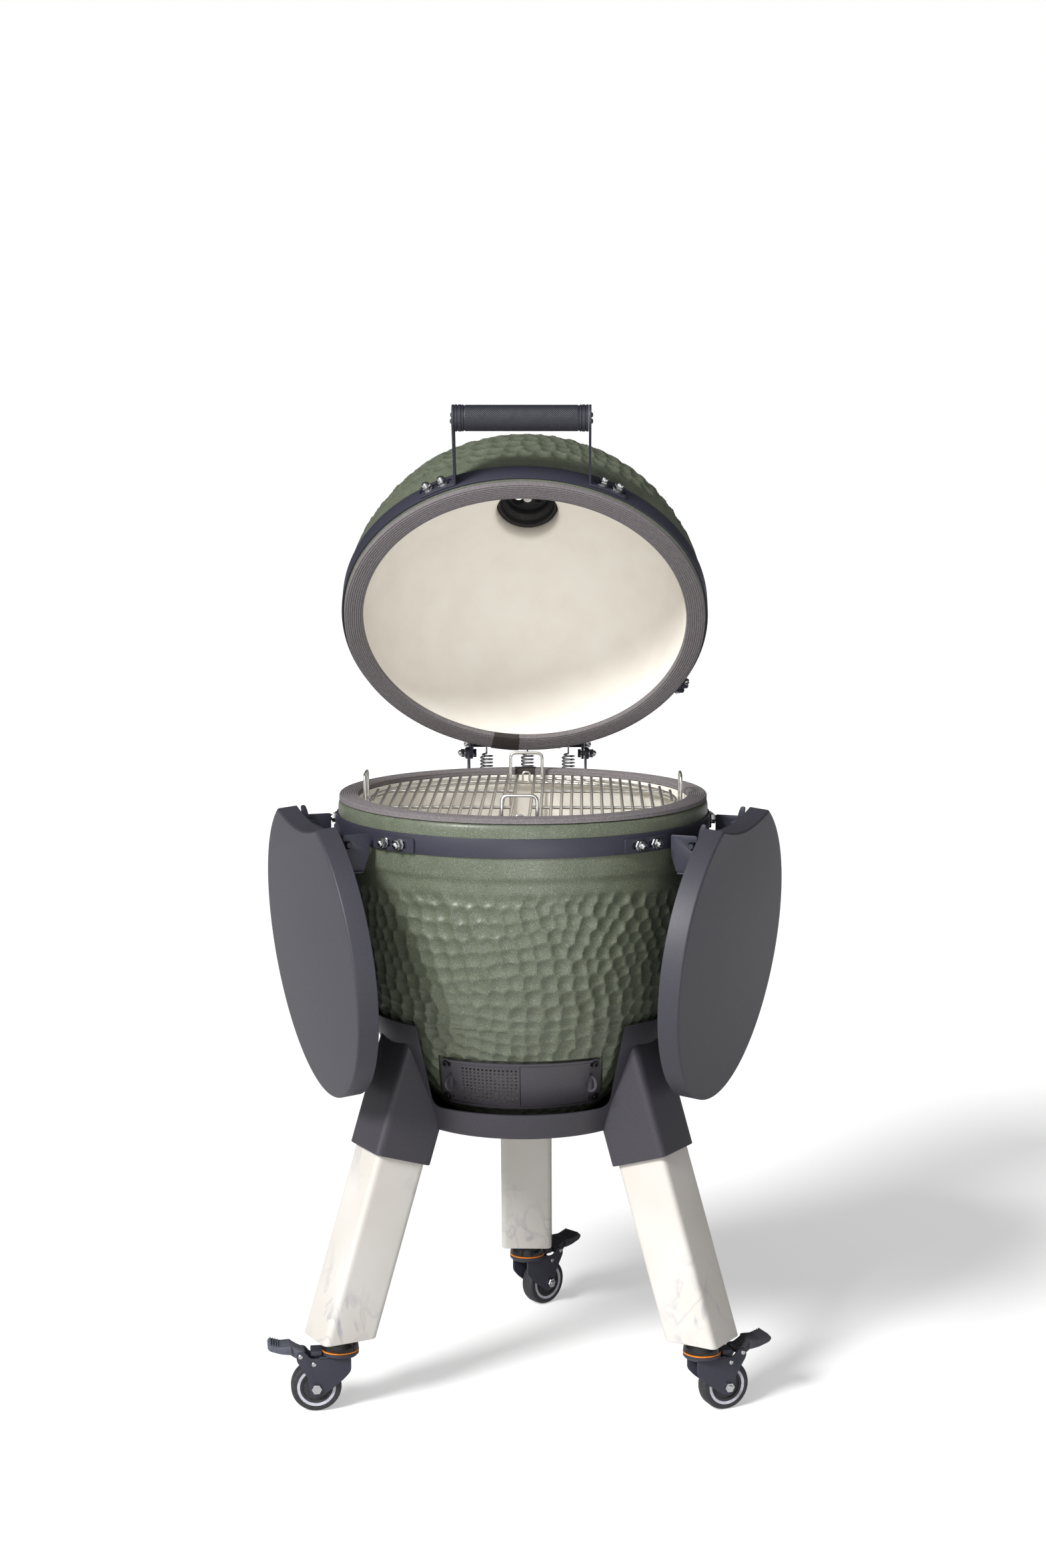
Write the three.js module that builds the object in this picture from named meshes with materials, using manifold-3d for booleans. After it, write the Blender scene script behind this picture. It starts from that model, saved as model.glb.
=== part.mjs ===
// Ceramic charcoal grill on a three-legged caster stand.
// Millimetres, +Z up. The model is drawn about the bowl's own axis, then set down with the origin
// in the middle of its footprint on the floor.
import * as THREE from 'three';
import { mergeVertices } from 'three/addons/utils/BufferGeometryUtils.js';
import Module from 'manifold-3d';

const wasm = await Module();
wasm.setup();

// ---- Driving dimensions -----------------------------------------------------------------------
const ROUND = 32; // sides of every large turned piece, so that nested rings keep an even gap
const GAP = 0.3; // clearance between touching pieces

// Bowl
const SEAT_Z = 872.5; // plane where the two felt gaskets meet
const FELT = 8.7; // gasket thickness
const FELT_INNER = 236.5;
const FELT_OUTER = 264;
const COLLAR_R = 265.5; // smooth collar that the steel bands clamp
const BOWL_TOP = SEAT_Z - GAP - FELT - GAP;
const COLLAR_Z = 790;
const SHOULDER_Z = 780; // the curved bowl starts here
const SHOULDER_R = 262;
const BOWL_DEPTH = 400; // outer half height of the curved bowl
const BOWL_BASE_Z = 405;
const CAVITY_R = 235;
const CAVITY_DEPTH = 347;

// Steel bands
const BAND_INNER = COLLAR_R + GAP;
const BAND_OUTER = BAND_INNER + 2.5;
const BAND_Z = [817.7, 844.1];
const LID_BAND_Z = [883, 909];
const FOOT_INNER = BAND_OUTER + GAP; // bracket feet lie on the bands
const FOOT_OUTER = FOOT_INNER + 3;

// Lid
const HINGE_Y = 286;
const HINGE_Z = 890;
const LID_OPEN = 52; // degrees
const DOME_Z = 905; // centre of the dome's ellipse
const DOME_R = 264;
const DOME_HEIGHT = 245;
const DOME_WALL = 27.5;
const CHIMNEY_R = 47.5;
const GRIP_Y = -352;
const GRIP_Z = 910;
const GRIP_HALF = 92.7;
const GRIP_R = 18.2;

// Hinge
const HINGE_PLATE = 4;
const HINGE_LID_X = 83.5; // inner face of the lid's plates
const HINGE_BASE_X = 88; // inner face of the bowl's plates
const SPRING_X = [-63.4, 0, 63.4];
const SPRING_R = 10.5;
const SPRING_Y = 312;
const SPRING_LOW_Z = 800;
const SPRING_HIGH_Z = 900;
const SPRING_BAR_R = 4;

// Shelves
const SHELF_TURN = 20.5; // degrees that each shelf is turned towards the front
const SHELF_R = 289; // hinge line's distance from the bowl's axis
const SHELF_Z = 824;
const SHELF_DROP = 96; // degrees from level to hanging
const SHELF_TOP = 46; // height of the shelf's face over its hinge line
const SHELF_DEEP = 30;
const SHELF_WALL = 3;
const LEAF_HALF = 230;
const LEAF_LONG = 212;
const LEAF_Q = 159; // centre of the leaf's ellipse
const LEAF_EDGE = -29; // where the leaf's inner corners are
const LEAF_HOLLOW = 14; // depth of the concave inner edge
const ARM_S = 100;
const HOOK_S = 90;

// Inside
const GRATE_Z = 859.5;
const WIRE = 6;
const GRATE_R = 220;
const BAR_PITCH = 14.3;
const BARS = 15;
const RACK_R = 224;
const HANDLE_R = 226;
const HANDLE_TOP = 898;

// Draft vent: a cone round the bowl's axis
const VENT_Z = [441, 517];
const VENT_R = 142; // frame's inner radius at the lower edge
const VENT_SLOPE = 50 / 76;
const VENT_HALF = 112;
const VENT_SIDES = 48;

// Stand
const CRADLE_TOP = 565;
const CRADLE_BOTTOM = 400;
const LEG_SPLAY = 17.7; // degrees from upright
const LEG_SIZE = 78;
const SOCKET_SIZE = 92;
const LEG_FOOT_Z = 108;
const LEG_FOOT_R = 298;
const SOCKET_Z = 364; // axis height of the socket's lower edge
const LEG_WALL = 3;
const LEG_AZIMUTH = { front_left: 210, front_right: -30, rear: 90 };

// Casters
const SWIVEL_Z = 88;
const TRAIL = 34.5;
const WHEEL_R = 36;
const WHEEL_HALF = 12;
const CHEEK = [14.5, 17.5];
const TRAIL_AZIMUTH = { front_left: 188, front_right: 25, rear: 45 };
const PEDAL_AT = [57, 84];

// ---- Materials --------------------------------------------------------------------------------
const paint = (color, roughness, metalness) =>
  new THREE.MeshStandardMaterial({ color, roughness, metalness });
const GLAZE = paint(0x62704f, 0.35, 0);
const CERAMIC = paint(0xf0ebe0, 0.8, 0);
const FELT_GREY = paint(0x554e4a, 0.95, 0);
const BLACK_STEEL = paint(0x33333b, 0.45, 0.4);
const ANTHRACITE = paint(0x48464c, 0.5, 0.3);
const STAINLESS = paint(0xc8c8c8, 0.25, 1);
const IRON = paint(0x2b2a2b, 0.7, 0.6);
const MARBLE = paint(0xeeece6, 0.3, 0);
const RUBBER = paint(0x35343a, 0.7, 0);

// ---- Solid helpers ----------------------------------------------------------------------------
const rad = THREE.MathUtils.degToRad;
const sin = (deg) => Math.sin(rad(deg));
const cos = (deg) => Math.cos(rad(deg));

// A closed geometry as a solid, with its faces pointing out.
function solid(geometry) {
  const bare = geometry.clone();
  bare.deleteAttribute('normal');
  bare.deleteAttribute('uv');
  const merged = mergeVertices(bare, 1e-3);
  const place = merged.attributes.position;
  const corner = (i) => new THREE.Vector3().fromBufferAttribute(place, i);
  const faces = [];
  let volume = 0;
  for (let i = 0; i < merged.index.count; i += 3) {
    const [a, b, c] = [0, 1, 2].map((k) => merged.index.getX(i + k));
    if (a === b || b === c || a === c) continue;
    faces.push([a, b, c]);
    volume += corner(a).dot(corner(b).cross(corner(c)));
  }
  const triVerts = faces.flatMap(([a, b, c]) => (volume < 0 ? [a, c, b] : [a, b, c]));
  return new wasm.Manifold(new wasm.Mesh({
    numProp: 3,
    vertProperties: Float32Array.from(place.array),
    triVerts: Uint32Array.from(triVerts),
  }));
}

function geometryOf(piece) {
  const mesh = piece.getMesh();
  const geometry = new THREE.BufferGeometry();
  geometry.setAttribute('position', new THREE.BufferAttribute(mesh.vertProperties, 3));
  geometry.setIndex(new THREE.BufferAttribute(mesh.triVerts, 1));
  return geometry;
}

const join = (...pieces) => pieces.reduce((a, b) => a.add(b));
const cut = (piece, ...tools) => tools.reduce((a, b) => a.subtract(b), piece);

// A profile of [radius, z] points turned about Z. It closes on itself unless it starts on the axis.
function turned(profile, sides = ROUND) {
  const points = profile.map(([r, z]) => new THREE.Vector2(r, z));
  if (profile[0][0] > 0) points.push(points[0].clone());
  return new THREE.LatheGeometry(points, sides).rotateX(Math.PI / 2);
}

const ring = (inner, outer, low, high, sides = ROUND) =>
  turned([[inner, low], [outer, low], [outer, high], [inner, high]], sides);

const outline = (points) => new THREE.Shape(points.map(([u, v]) => new THREE.Vector2(u, v)));

// An outline in X and Y, from z = low to high.
function upright(points, low, high) {
  const shape = Array.isArray(points) ? outline(points) : points;
  return new THREE.ExtrudeGeometry(shape, { depth: high - low, bevelEnabled: false })
    .translate(0, 0, low);
}

// An outline in Y and Z, from x = low to high.
function sideways(points, low, high) {
  const axes = new THREE.Matrix4().makeBasis(
    new THREE.Vector3(0, 1, 0), new THREE.Vector3(0, 0, 1), new THREE.Vector3(1, 0, 0));
  return upright(points, low, high).applyMatrix4(axes);
}

const box = (x, y, z) =>
  new THREE.BoxGeometry(x[1] - x[0], y[1] - y[0], z[1] - z[0])
    .translate((x[0] + x[1]) / 2, (y[0] + y[1]) / 2, (z[0] + z[1]) / 2);

// A rod along X.
const rod = (radius, low, high, y, z, sides = 8) =>
  new THREE.CylinderGeometry(radius, radius, high - low, sides)
    .rotateZ(Math.PI / 2).translate((low + high) / 2, y, z);

// A pie slice about Z, between two azimuths.
function slice(from, to, low, high, reach = 400) {
  const edge = (deg) => [reach * cos(deg), reach * sin(deg)];
  return upright([[0, 0], edge(from), edge((from + to) / 2), edge(to)], low, high);
}

function circle(radius, sides, [y, z] = [0, 0]) {
  return Array.from({ length: sides }, (_, i) =>
    [y + radius * cos((i * 360) / sides), z + radius * sin((i * 360) / sides)]);
}

function place(group, name, shape, material) {
  const geometry = shape.isBufferGeometry ? geometryOf(solid(shape)) : geometryOf(shape);
  geometry.computeVertexNormals();
  const mesh = new THREE.Mesh(geometry, material);
  mesh.name = name;
  group.add(mesh);
  return mesh;
}

function groupAt(parent, x, y, z, turn = 0) {
  const group = new THREE.Group();
  group.position.set(x, y, z);
  group.rotation.z = rad(turn);
  parent.add(group);
  return group;
}

// ---- Bowl -------------------------------------------------------------------------------------
const ellipse = (radius, depth, from, z) => radius * Math.sqrt(1 - ((from - z) / depth) ** 2);
const bowlR = (z) => ellipse(SHOULDER_R, BOWL_DEPTH, SHOULDER_Z, z);
const cavityR = (z) => ellipse(CAVITY_R, CAVITY_DEPTH, SHOULDER_Z, z);
const ventR = (z, out) => VENT_R + out + (z - VENT_Z[0]) * VENT_SLOPE;

function ventShell(inner, outer, low, high) {
  const profile = [
    [ventR(low, inner), low], [ventR(low, outer), low],
    [ventR(high, outer), high], [ventR(high, inner), high],
  ];
  return solid(turned(profile, VENT_SIDES));
}

function bowlShell() {
  const outer = [418, 441, 478, 530, 600, 690].map((z) => [bowlR(z), z]);
  const inner = [700, 610, 540, 490, 455].map((z) => [cavityR(z), z]);
  const shell = solid(turned([
    [0, BOWL_BASE_Z], [bowlR(BOWL_BASE_Z), BOWL_BASE_Z], ...outer,
    [SHOULDER_R, SHOULDER_Z], [COLLAR_R, COLLAR_Z], [COLLAR_R, BOWL_TOP - 10],
    [COLLAR_R - 2.5, BOWL_TOP], [FELT_INNER, BOWL_TOP], [CAVITY_R, 800],
    ...inner, [0, 434],
  ]));
  const pocket = ventShell(-0.5, 200, VENT_Z[0] - 4, VENT_Z[1] + 4)
    .intersect(solid(box([-VENT_HALF - 3, VENT_HALF + 3], [-300, 0], [400, 600])));
  const draft = solid(box([-102, 102], [-300, -40], [448, 500]));
  return cut(shell, pocket, draft);
}

// ---- Bands ------------------------------------------------------------------------------------
// A steel band with a slot and two bolted ears at the given azimuth.
function band([low, high], azimuth) {
  const turn = rad(azimuth);
  const middle = (low + high) / 2;
  const slot = solid(box([200, 300], [-4, 4], [low - 1, high + 1]).rotateZ(turn));
  const ears = [-1, 1].map((side) => {
    const y = side < 0 ? [-7, -4] : [4, 7];
    return solid(box([BAND_INNER + 1, 284], y, [middle - 9, middle + 9]).rotateZ(turn));
  });
  const bore = solid(new THREE.CylinderGeometry(3.4, 3.4, 40, 8)
    .translate(277, 0, middle).rotateZ(turn));
  const hoop = cut(solid(ring(BAND_INNER, BAND_OUTER, low, high)), slot);
  return cut(join(hoop, ...ears), bore);
}

function bandBolt([low, high], azimuth) {
  const middle = (low + high) / 2;
  const part = (radius, from, to, sides) =>
    solid(new THREE.CylinderGeometry(radius, radius, to - from, sides)
      .translate(277, (from + to) / 2, middle).rotateZ(rad(azimuth)));
  return join(part(3, -15, 16, 8), part(6, -11.5, -7.3, 6), part(6, 7.3, 12, 6));
}

// A bracket's foot lies on a band, between two azimuths. In a turned frame, phase lines its sides
// up with the band's.
const onBand = (z, from, to, phase = 0) =>
  solid(ring(FOOT_INNER, FOOT_OUTER, z[0], z[1]).rotateZ(rad(phase)))
    .intersect(solid(slice(from, to, z[0] - 1, z[1] + 1)));

// The space inside the feet, which a bracket's plates stay out of.
const insideFeet = (low, high, phase = 0) =>
  solid(turned([[0, low], [FOOT_INNER, low], [FOOT_INNER, high], [0, high]]).rotateZ(rad(phase)));

// ---- Hinge ------------------------------------------------------------------------------------
const hingeBore = (y, z) => solid(rod(4.3, -120, 120, y, z));

function bowlHinge() {
  const plate = [
    [250, 819], [250, 842], [276, 872], [278, 896], [284, 900], [292, 898],
    [297, 886], [303, 850], [319, 808], [319, 792], [300, 790], [286, 802],
  ];
  const plates = [-1, 1].map((side) => solid(sideways(plate,
    side < 0 ? -HINGE_BASE_X - HINGE_PLATE : HINGE_BASE_X,
    side < 0 ? -HINGE_BASE_X : HINGE_BASE_X + HINGE_PLATE)));
  const foot = onBand([818.5, 842.5], 90 - 19.8, 90 + 19.8);
  const bar = solid(rod(SPRING_BAR_R, -HINGE_BASE_X - 2, HINGE_BASE_X + 2, SPRING_Y, SPRING_LOW_Z));
  return cut(join(foot, ...plates, bar), insideFeet(780, 860), hingeBore(HINGE_Y, HINGE_Z));
}

// Drawn closed, in the lid's own group, about the pivot.
function lidHinge() {
  const plate = [
    [-34, -6], [-34, 18], [-14, 20], [2, 33], [10, 33], [15, 27], [10, 4], [7, -7], [-2, -9],
  ];
  const plates = [-1, 1].map((side) => solid(sideways(plate,
    side < 0 ? -HINGE_LID_X - HINGE_PLATE : HINGE_LID_X,
    side < 0 ? -HINGE_LID_X : HINGE_LID_X + HINGE_PLATE)));
  const [y, z] = closedBar();
  const foot = onBand([884.5, 907.5], 90 - 18.6, 90 + 18.6).translate([0, -HINGE_Y, -HINGE_Z]);
  const bar = solid(rod(SPRING_BAR_R, -HINGE_LID_X - 2, HINGE_LID_X + 2, y, z));
  const keepOut = insideFeet(860, 930).translate([0, -HINGE_Y, -HINGE_Z]);
  return cut(join(foot, ...plates, bar), keepOut, hingeBore(0, 0));
}

// Where the lid's spring bar is while the lid is shut, from the pivot.
function closedBar() {
  const [y, z] = [SPRING_Y - HINGE_Y, SPRING_HIGH_Z - HINGE_Z];
  return [y * cos(LID_OPEN) - z * sin(LID_OPEN), y * sin(LID_OPEN) + z * cos(LID_OPEN)];
}

function hingeBolt(side) {
  const part = (radius, from, to, sides) => {
    const [low, high] = side < 0 ? [-to, -from] : [from, to];
    return solid(rod(radius, low, high, HINGE_Y, HINGE_Z, sides));
  };
  return join(part(3.9, 79, 96, 8), part(7, 78, 83.1, 6), part(7, 92.4, 98, 6));
}

function spring() {
  const low = SPRING_LOW_Z + SPRING_BAR_R + GAP;
  const high = SPRING_HIGH_Z - SPRING_BAR_R - GAP;
  return turned([
    [0, low], [2, low], [2, low + 6], [SPRING_R, low + 9],
    [SPRING_R, high - 9], [2, high - 6], [2, high], [0, high],
  ], 12);
}

// ---- Lid --------------------------------------------------------------------------------------
const domeOut = (z) => DOME_R * Math.sqrt(1 - ((z - DOME_Z) / DOME_HEIGHT) ** 2);
const domeIn = (z) =>
  (DOME_R - DOME_WALL) * Math.sqrt(1 - ((z - DOME_Z) / (DOME_HEIGHT - DOME_WALL)) ** 2);
const LID_BOTTOM = SEAT_Z + GAP + FELT + GAP;
const DOME_TOP = DOME_Z + DOME_HEIGHT * Math.sqrt(1 - (CHIMNEY_R / DOME_R) ** 2);

function lidShell() {
  const outer = [960, 1020, 1070, 1108, 1132].map((z) => [domeOut(z), z]);
  const inner = [1102, 1070, 1025, 965].map((z) => [domeIn(z), z]);
  return turned([
    [FELT_INNER, LID_BOTTOM], [COLLAR_R - 2.5, LID_BOTTOM], [COLLAR_R, LID_BOTTOM + 2],
    [COLLAR_R, 913], ...outer, [CHIMNEY_R, DOME_TOP], [CHIMNEY_R, 1118],
    ...inner, [FELT_INNER, DOME_Z],
  ]);
}

function ventCollar() {
  const collar = solid(turned([
    [41, 1143], [46.4, 1143], [46.4, DOME_TOP + GAP], [60, DOME_TOP + GAP], [60, 1150],
    [38.5, 1162], [38.5, 1171], [34, 1171], [34, 1160], [41, 1153],
  ], 24));
  const web = solid(box([-36, 36], [-5, 5], [1165, 1170]));
  const bore = solid(new THREE.CylinderGeometry(4.3, 4.3, 20, 12)
    .rotateX(Math.PI / 2).translate(0, 0, 1168));
  return cut(join(collar, web), bore);
}

function ventCap() {
  const disc = solid(turned([[4.3, 1171.3], [36, 1171.3], [39, 1174], [39, 1179],
    [34, 1183], [4.3, 1183]], 24));
  const petals = [0, 120, 240].map((deg) => {
    const petal = solid(upright([[12, 0], [29, 0], [25, 14], [14, 24], [5, 10]], 1160, 1190));
    return petal.rotate([0, 0, deg]);
  });
  return cut(disc, ...petals);
}

function ventBolt() {
  return turned([
    [0, 1156], [7, 1156], [7, 1161], [3.9, 1161], [3.9, 1183.3],
    [9, 1183.3], [9, 1189], [5, 1192], [0, 1192],
  ], 12);
}

function handleBracket(side) {
  const [low, high] = side < 0 ? [-96.5, -93] : [93, 96.5];
  const arc = circle(18.6, 20, [GRIP_Y, GRIP_Z]).filter(([y]) => y < GRIP_Y + 8);
  const start = arc.filter(([, z]) => z > GRIP_Z);
  const end = arc.filter(([, z]) => z <= GRIP_Z);
  const strap = solid(sideways([[-248, 885], [-248, 907.5], ...start, ...end], low, high));
  const foot = onBand([885, 907.5], side < 0 ? 237.5 : 290.2, side < 0 ? 249.8 : 302.5);
  return cut(join(strap, foot), insideFeet(860, 930));
}

function grip() {
  const low = -GRIP_HALF + 10;
  return turned([
    [0, low], [16.5, low], [16.5, low + 2], [GRIP_R, low + 2], [GRIP_R, -low - 2],
    [16.5, -low - 2], [16.5, -low], [0, -low],
  ], 20).rotateY(Math.PI / 2).translate(0, GRIP_Y, GRIP_Z);
}

function gripCap(side) {
  const [low, high] = [GRIP_HALF - 10 + GAP, GRIP_HALF];
  return rod(GRIP_R + 0.4, side < 0 ? -high : low, side < 0 ? -low : high, GRIP_Y, GRIP_Z, 24);
}

// ---- Shelves ----------------------------------------------------------------------------------
// In a shelf's own frame X runs along the hinge line, Y points out from the bowl, and Z is up.
function leaf(inset) {
  const [a, b] = [LEAF_HALF - inset, LEAF_LONG - inset];
  const start = Math.asin((LEAF_EDGE + inset - LEAF_Q) / b);
  const steps = 32;
  const points = Array.from({ length: steps + 1 }, (_, i) => {
    const turn = start + ((Math.PI - 2 * start) * i) / steps;
    return [a * Math.cos(turn), LEAF_Q + b * Math.sin(turn)];
  });
  const corner = points[0][0];
  for (let i = 1; i < 8; i++) {
    const x = -corner + (2 * corner * i) / 8;
    points.push([x, LEAF_EDGE + inset + LEAF_HOLLOW * (1 - (x / corner) ** 2)]);
  }
  return points;
}

function shelfTray() {
  const low = SHELF_TOP - SHELF_DEEP;
  return cut(
    solid(upright(leaf(0), low, SHELF_TOP)),
    solid(upright(leaf(SHELF_WALL), low - 1, SHELF_TOP - SHELF_WALL)));
}

// The rod that drops into the notches, and the two hooked plates that carry the tray.
function shelfHanger() {
  const top = SHELF_TOP - SHELF_WALL - GAP;
  const hook = [
    [-6, -5], [6, -6], [34, 24], [60, top - 6], [60, top], [-11, top], [-11, 18],
    [-19, 14.5], [-31, 14.5], [-31, 8], [-22, 5.5], [-10, 4],
  ];
  const plates = [-HOOK_S, HOOK_S].map((s) => solid(sideways(hook, s - 1.5, s + 1.5)));
  return join(solid(rod(4, -ARM_S - 6, ARM_S + 6, 0, 0)), ...plates);
}

// Stands in the frame of the shelf's hinge line, with the bowl's axis at Y = -SHELF_R.
function shelfBracket(side, phase) {
  const drop = (z) => z - SHELF_Z;
  const arm = [
    [-40, drop(838.5)], [6, drop(838.5)], [8, drop(836)], [8, drop(831)], [6, drop(829.3)],
    [-3, 5.3], [-5.5, 0], [-3, -5.3], [5, -5.3], [5, drop(802)], [-3, drop(787)],
    [-22, drop(787)], [-40, drop(812)],
  ];
  const plate = solid(sideways(arm, side * ARM_S - 1.5, side * ARM_S + 1.5));
  const lean = (deg) => 90 - side * deg;
  const [from, to] = [lean(21.2), lean(37.5)].sort((a, b) => a - b);
  const foot = onBand([818.2, 838.5], from, to, phase).translate([0, -SHELF_R, -SHELF_Z]);
  return cut(join(plate, foot), insideFeet(780, 860, phase).translate([0, -SHELF_R, -SHELF_Z]));
}

// ---- Inside -----------------------------------------------------------------------------------
const fireBox = () => turned([
  [134, 496.5], [200, 690], [182, 690], [139, 520], [118, 520], [118, 496.5],
]);
const fireRing = () => turned([[186, 690.3], [206, 690.3], [222, 770], [201, 770]]);

function charcoalGrate() {
  const disc = solid(upright(circle(134, 32), 520.3, 530));
  const slots = [];
  for (let x = -90; x <= 90; x += 22.5) {
    const reach = Math.sqrt(118 ** 2 - x ** 2);
    slots.push(solid(box([x - 6, x + 6], [-reach, -6], [500, 540])));
    slots.push(solid(box([x - 6, x + 6], [6, reach], [500, 540])));
  }
  return cut(disc, ...slots);
}

function rackFrame() {
  const low = 773.4;
  const wide = WIRE / 2;
  const hoops = [low, GRATE_Z - WIRE - 0.6].map((z) =>
    solid(ring(RACK_R - wide, RACK_R + wide, z - wide, z + wide)));
  const bend = 10;
  const frame = (grow) => [
    [-24 - grow, low - wide], [-24 - grow, HANDLE_TOP - bend], [-24 + bend, HANDLE_TOP + grow],
    [24 - bend, HANDLE_TOP + grow], [24 + grow, HANDLE_TOP - bend], [24 + grow, low - wide],
  ];
  const handles = [0, 90, 180, 270].map((deg) =>
    solid(sideways([...frame(wide), ...frame(-wide).reverse()], HANDLE_R - wide, HANDLE_R + wide))
      .rotate([0, 0, deg]));
  return join(...hoops, ...handles);
}

function grateHalf(side) {
  const wide = WIRE / 2;
  const pieces = [];
  for (let i = 0; i < BARS; i++) {
    const x = side * (10 + wide + i * BAR_PITCH);
    const reach = Math.sqrt((GRATE_R + 1) ** 2 - x ** 2);
    pieces.push(solid(box([x - wide, x + wide], [-reach, reach], [GRATE_Z + 1, GRATE_Z + 8])));
  }
  const end = side * Math.sqrt(GRATE_R ** 2 - 80 ** 2);
  for (const y of [-80, 80]) {
    const [low, high] = [side * 10, end].sort((a, b) => a - b);
    pieces.push(solid(box([low, high], [y - wide, y + wide], [GRATE_Z - wide, GRATE_Z + wide])));
  }
  const [from, to] = side < 0 ? [-300, -10] : [10, 300];
  const rim = solid(ring(GRATE_R - wide, GRATE_R + wide, GRATE_Z - wide, GRATE_Z + wide))
    .intersect(solid(box([from, to], [-300, 300], [840, 880])));
  return join(rim, ...pieces);
}

// ---- Draft vent -------------------------------------------------------------------------------
function ventFrame() {
  const [low, high] = VENT_Z;
  const within = solid(box([-VENT_HALF, VENT_HALF], [-300, 0], [400, 600]));
  const rails = solid(box([-VENT_HALF + 11, VENT_HALF - 11], [-300, 0], [400, 600]));
  const plate = ventShell(0, 3, low, high).intersect(within);
  const edges = [[low, low + 3.5], [high - 3.5, high]].map(([a, b]) =>
    ventShell(2, 8, a, b).intersect(rails));
  const window = solid(box([-91, -4], [-300, 0], [low + 8, high - 8]));
  return cut(join(plate, ...edges), window);
}

// A curved plate that slides round the frame, with a loop handle at its outer end.
function ventSlide(side, inner, outer) {
  const [low, high] = [VENT_Z[0] + 4, VENT_Z[1] - 4];
  const middle = (low + high) / 2;
  const [from, to] = side < 0 ? [-96, -0.6] : [0.6, 96];
  const plate = ventShell(inner, outer, low, high)
    .intersect(solid(box([from, to], [-300, 0], [400, 600])));
  const root = ventR(middle, inner);
  const loop = outline(Array.from({ length: 11 }, (_, i) =>
    [root + 0.4 + 22 * sin(i * 18), middle + 14 * cos(i * 18)]));
  loop.holes.push(outline(Array.from({ length: 9 }, (_, i) =>
    [root + 5.5 + 13.5 * sin(i * 22.5), middle - 10 * cos(i * 22.5)])));
  const handle = solid(sideways(loop, -1.5, 1.5)).rotate([0, 0, side < 0 ? 146.5 : 213.5])
    .intersect(ventShell(inner, 60, low, high));
  return join(plate, handle);
}

// ---- Stand ------------------------------------------------------------------------------------
const cradleOuter = (grow) => [
  [0, CRADLE_BOTTOM - grow], [164 + grow, CRADLE_BOTTOM - grow], [168 + grow, CRADLE_BOTTOM + 4],
  [178 + grow, 440], [226.5 + grow, CRADLE_TOP + grow], [0, CRADLE_TOP + grow],
];

// A square bar with rounded corners, along a leg's axis, from one height of the axis to another.
function legBar(azimuth, size, low, high) {
  const half = size / 2 - 8;
  const square = [];
  for (const [sx, sy, start] of [[1, 1, 0], [-1, 1, 90], [-1, -1, 180], [1, -1, 270]]) {
    for (const deg of [0, 45, 90]) {
      square.push([sx * half + 8 * cos(start + deg), sy * half + 8 * sin(start + deg)]);
    }
  }
  const along = (z) => (z - LEG_FOOT_Z) / cos(LEG_SPLAY);
  const bar = upright(square, along(low), along(high));
  bar.rotateY(-rad(LEG_SPLAY)).translate(LEG_FOOT_R, 0, LEG_FOOT_Z).rotateZ(rad(azimuth));
  return solid(bar);
}

function cradle() {
  const inside = solid(turned([
    [0, CRADLE_BOTTOM + 4.7], [160, CRADLE_BOTTOM + 4.7], [174, 440.5],
    [222.5, CRADLE_TOP], [224, CRADLE_TOP + 6], [0, CRADLE_TOP + 6],
  ]));
  const drain = solid(turned([[0, 390], [60, 390], [60, 410], [0, 410]], 24));
  const bowl = cut(solid(turned(cradleOuter(0))), inside, drain);
  const sockets = Object.values(LEG_AZIMUTH).map((azimuth) => cut(
    legBar(azimuth, SOCKET_SIZE, SOCKET_Z, 548),
    legBar(azimuth, LEG_SIZE + 2 * GAP, SOCKET_Z - 20, 500)));
  const belly = solid(turned([
    [0, CRADLE_BOTTOM - 60], [100, CRADLE_BOTTOM - 60], [140, CRADLE_BOTTOM], [0, CRADLE_BOTTOM],
  ]));
  const window = solid(upright([[-124, 438.5], [124, 438.5], [151, 575], [-151, 575]], 0, 300)
    .rotateX(Math.PI / 2));
  return cut(join(bowl, ...sockets.map((socket) => cut(socket, inside, belly))), window);
}

function leg(azimuth) {
  const bar = legBar(azimuth, LEG_SIZE, LEG_FOOT_Z - 40, 495);
  const hollow = legBar(azimuth, LEG_SIZE - 2 * LEG_WALL, LEG_FOOT_Z + 26, 495);
  const ground = solid(box([-500, 500], [-500, 500], [0, LEG_FOOT_Z]));
  const stem = solid(new THREE.CylinderGeometry(6.3, 6.3, 40, 12).rotateX(Math.PI / 2)
    .translate(LEG_FOOT_R, 0, LEG_FOOT_Z + 8).rotateZ(rad(azimuth)));
  return cut(bar, hollow, ground, stem, solid(turned(cradleOuter(GAP))));
}

// ---- Casters ----------------------------------------------------------------------------------
// In a caster's own frame Z is the swivel axis and Y points the way the wheel trails.
const race = () => turned([
  [0, SWIVEL_Z + GAP], [27, SWIVEL_Z + GAP], [21, LEG_FOOT_Z - GAP],
  [6, LEG_FOOT_Z - GAP], [6, LEG_FOOT_Z + 16], [0, LEG_FOOT_Z + 16],
], 16);

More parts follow.
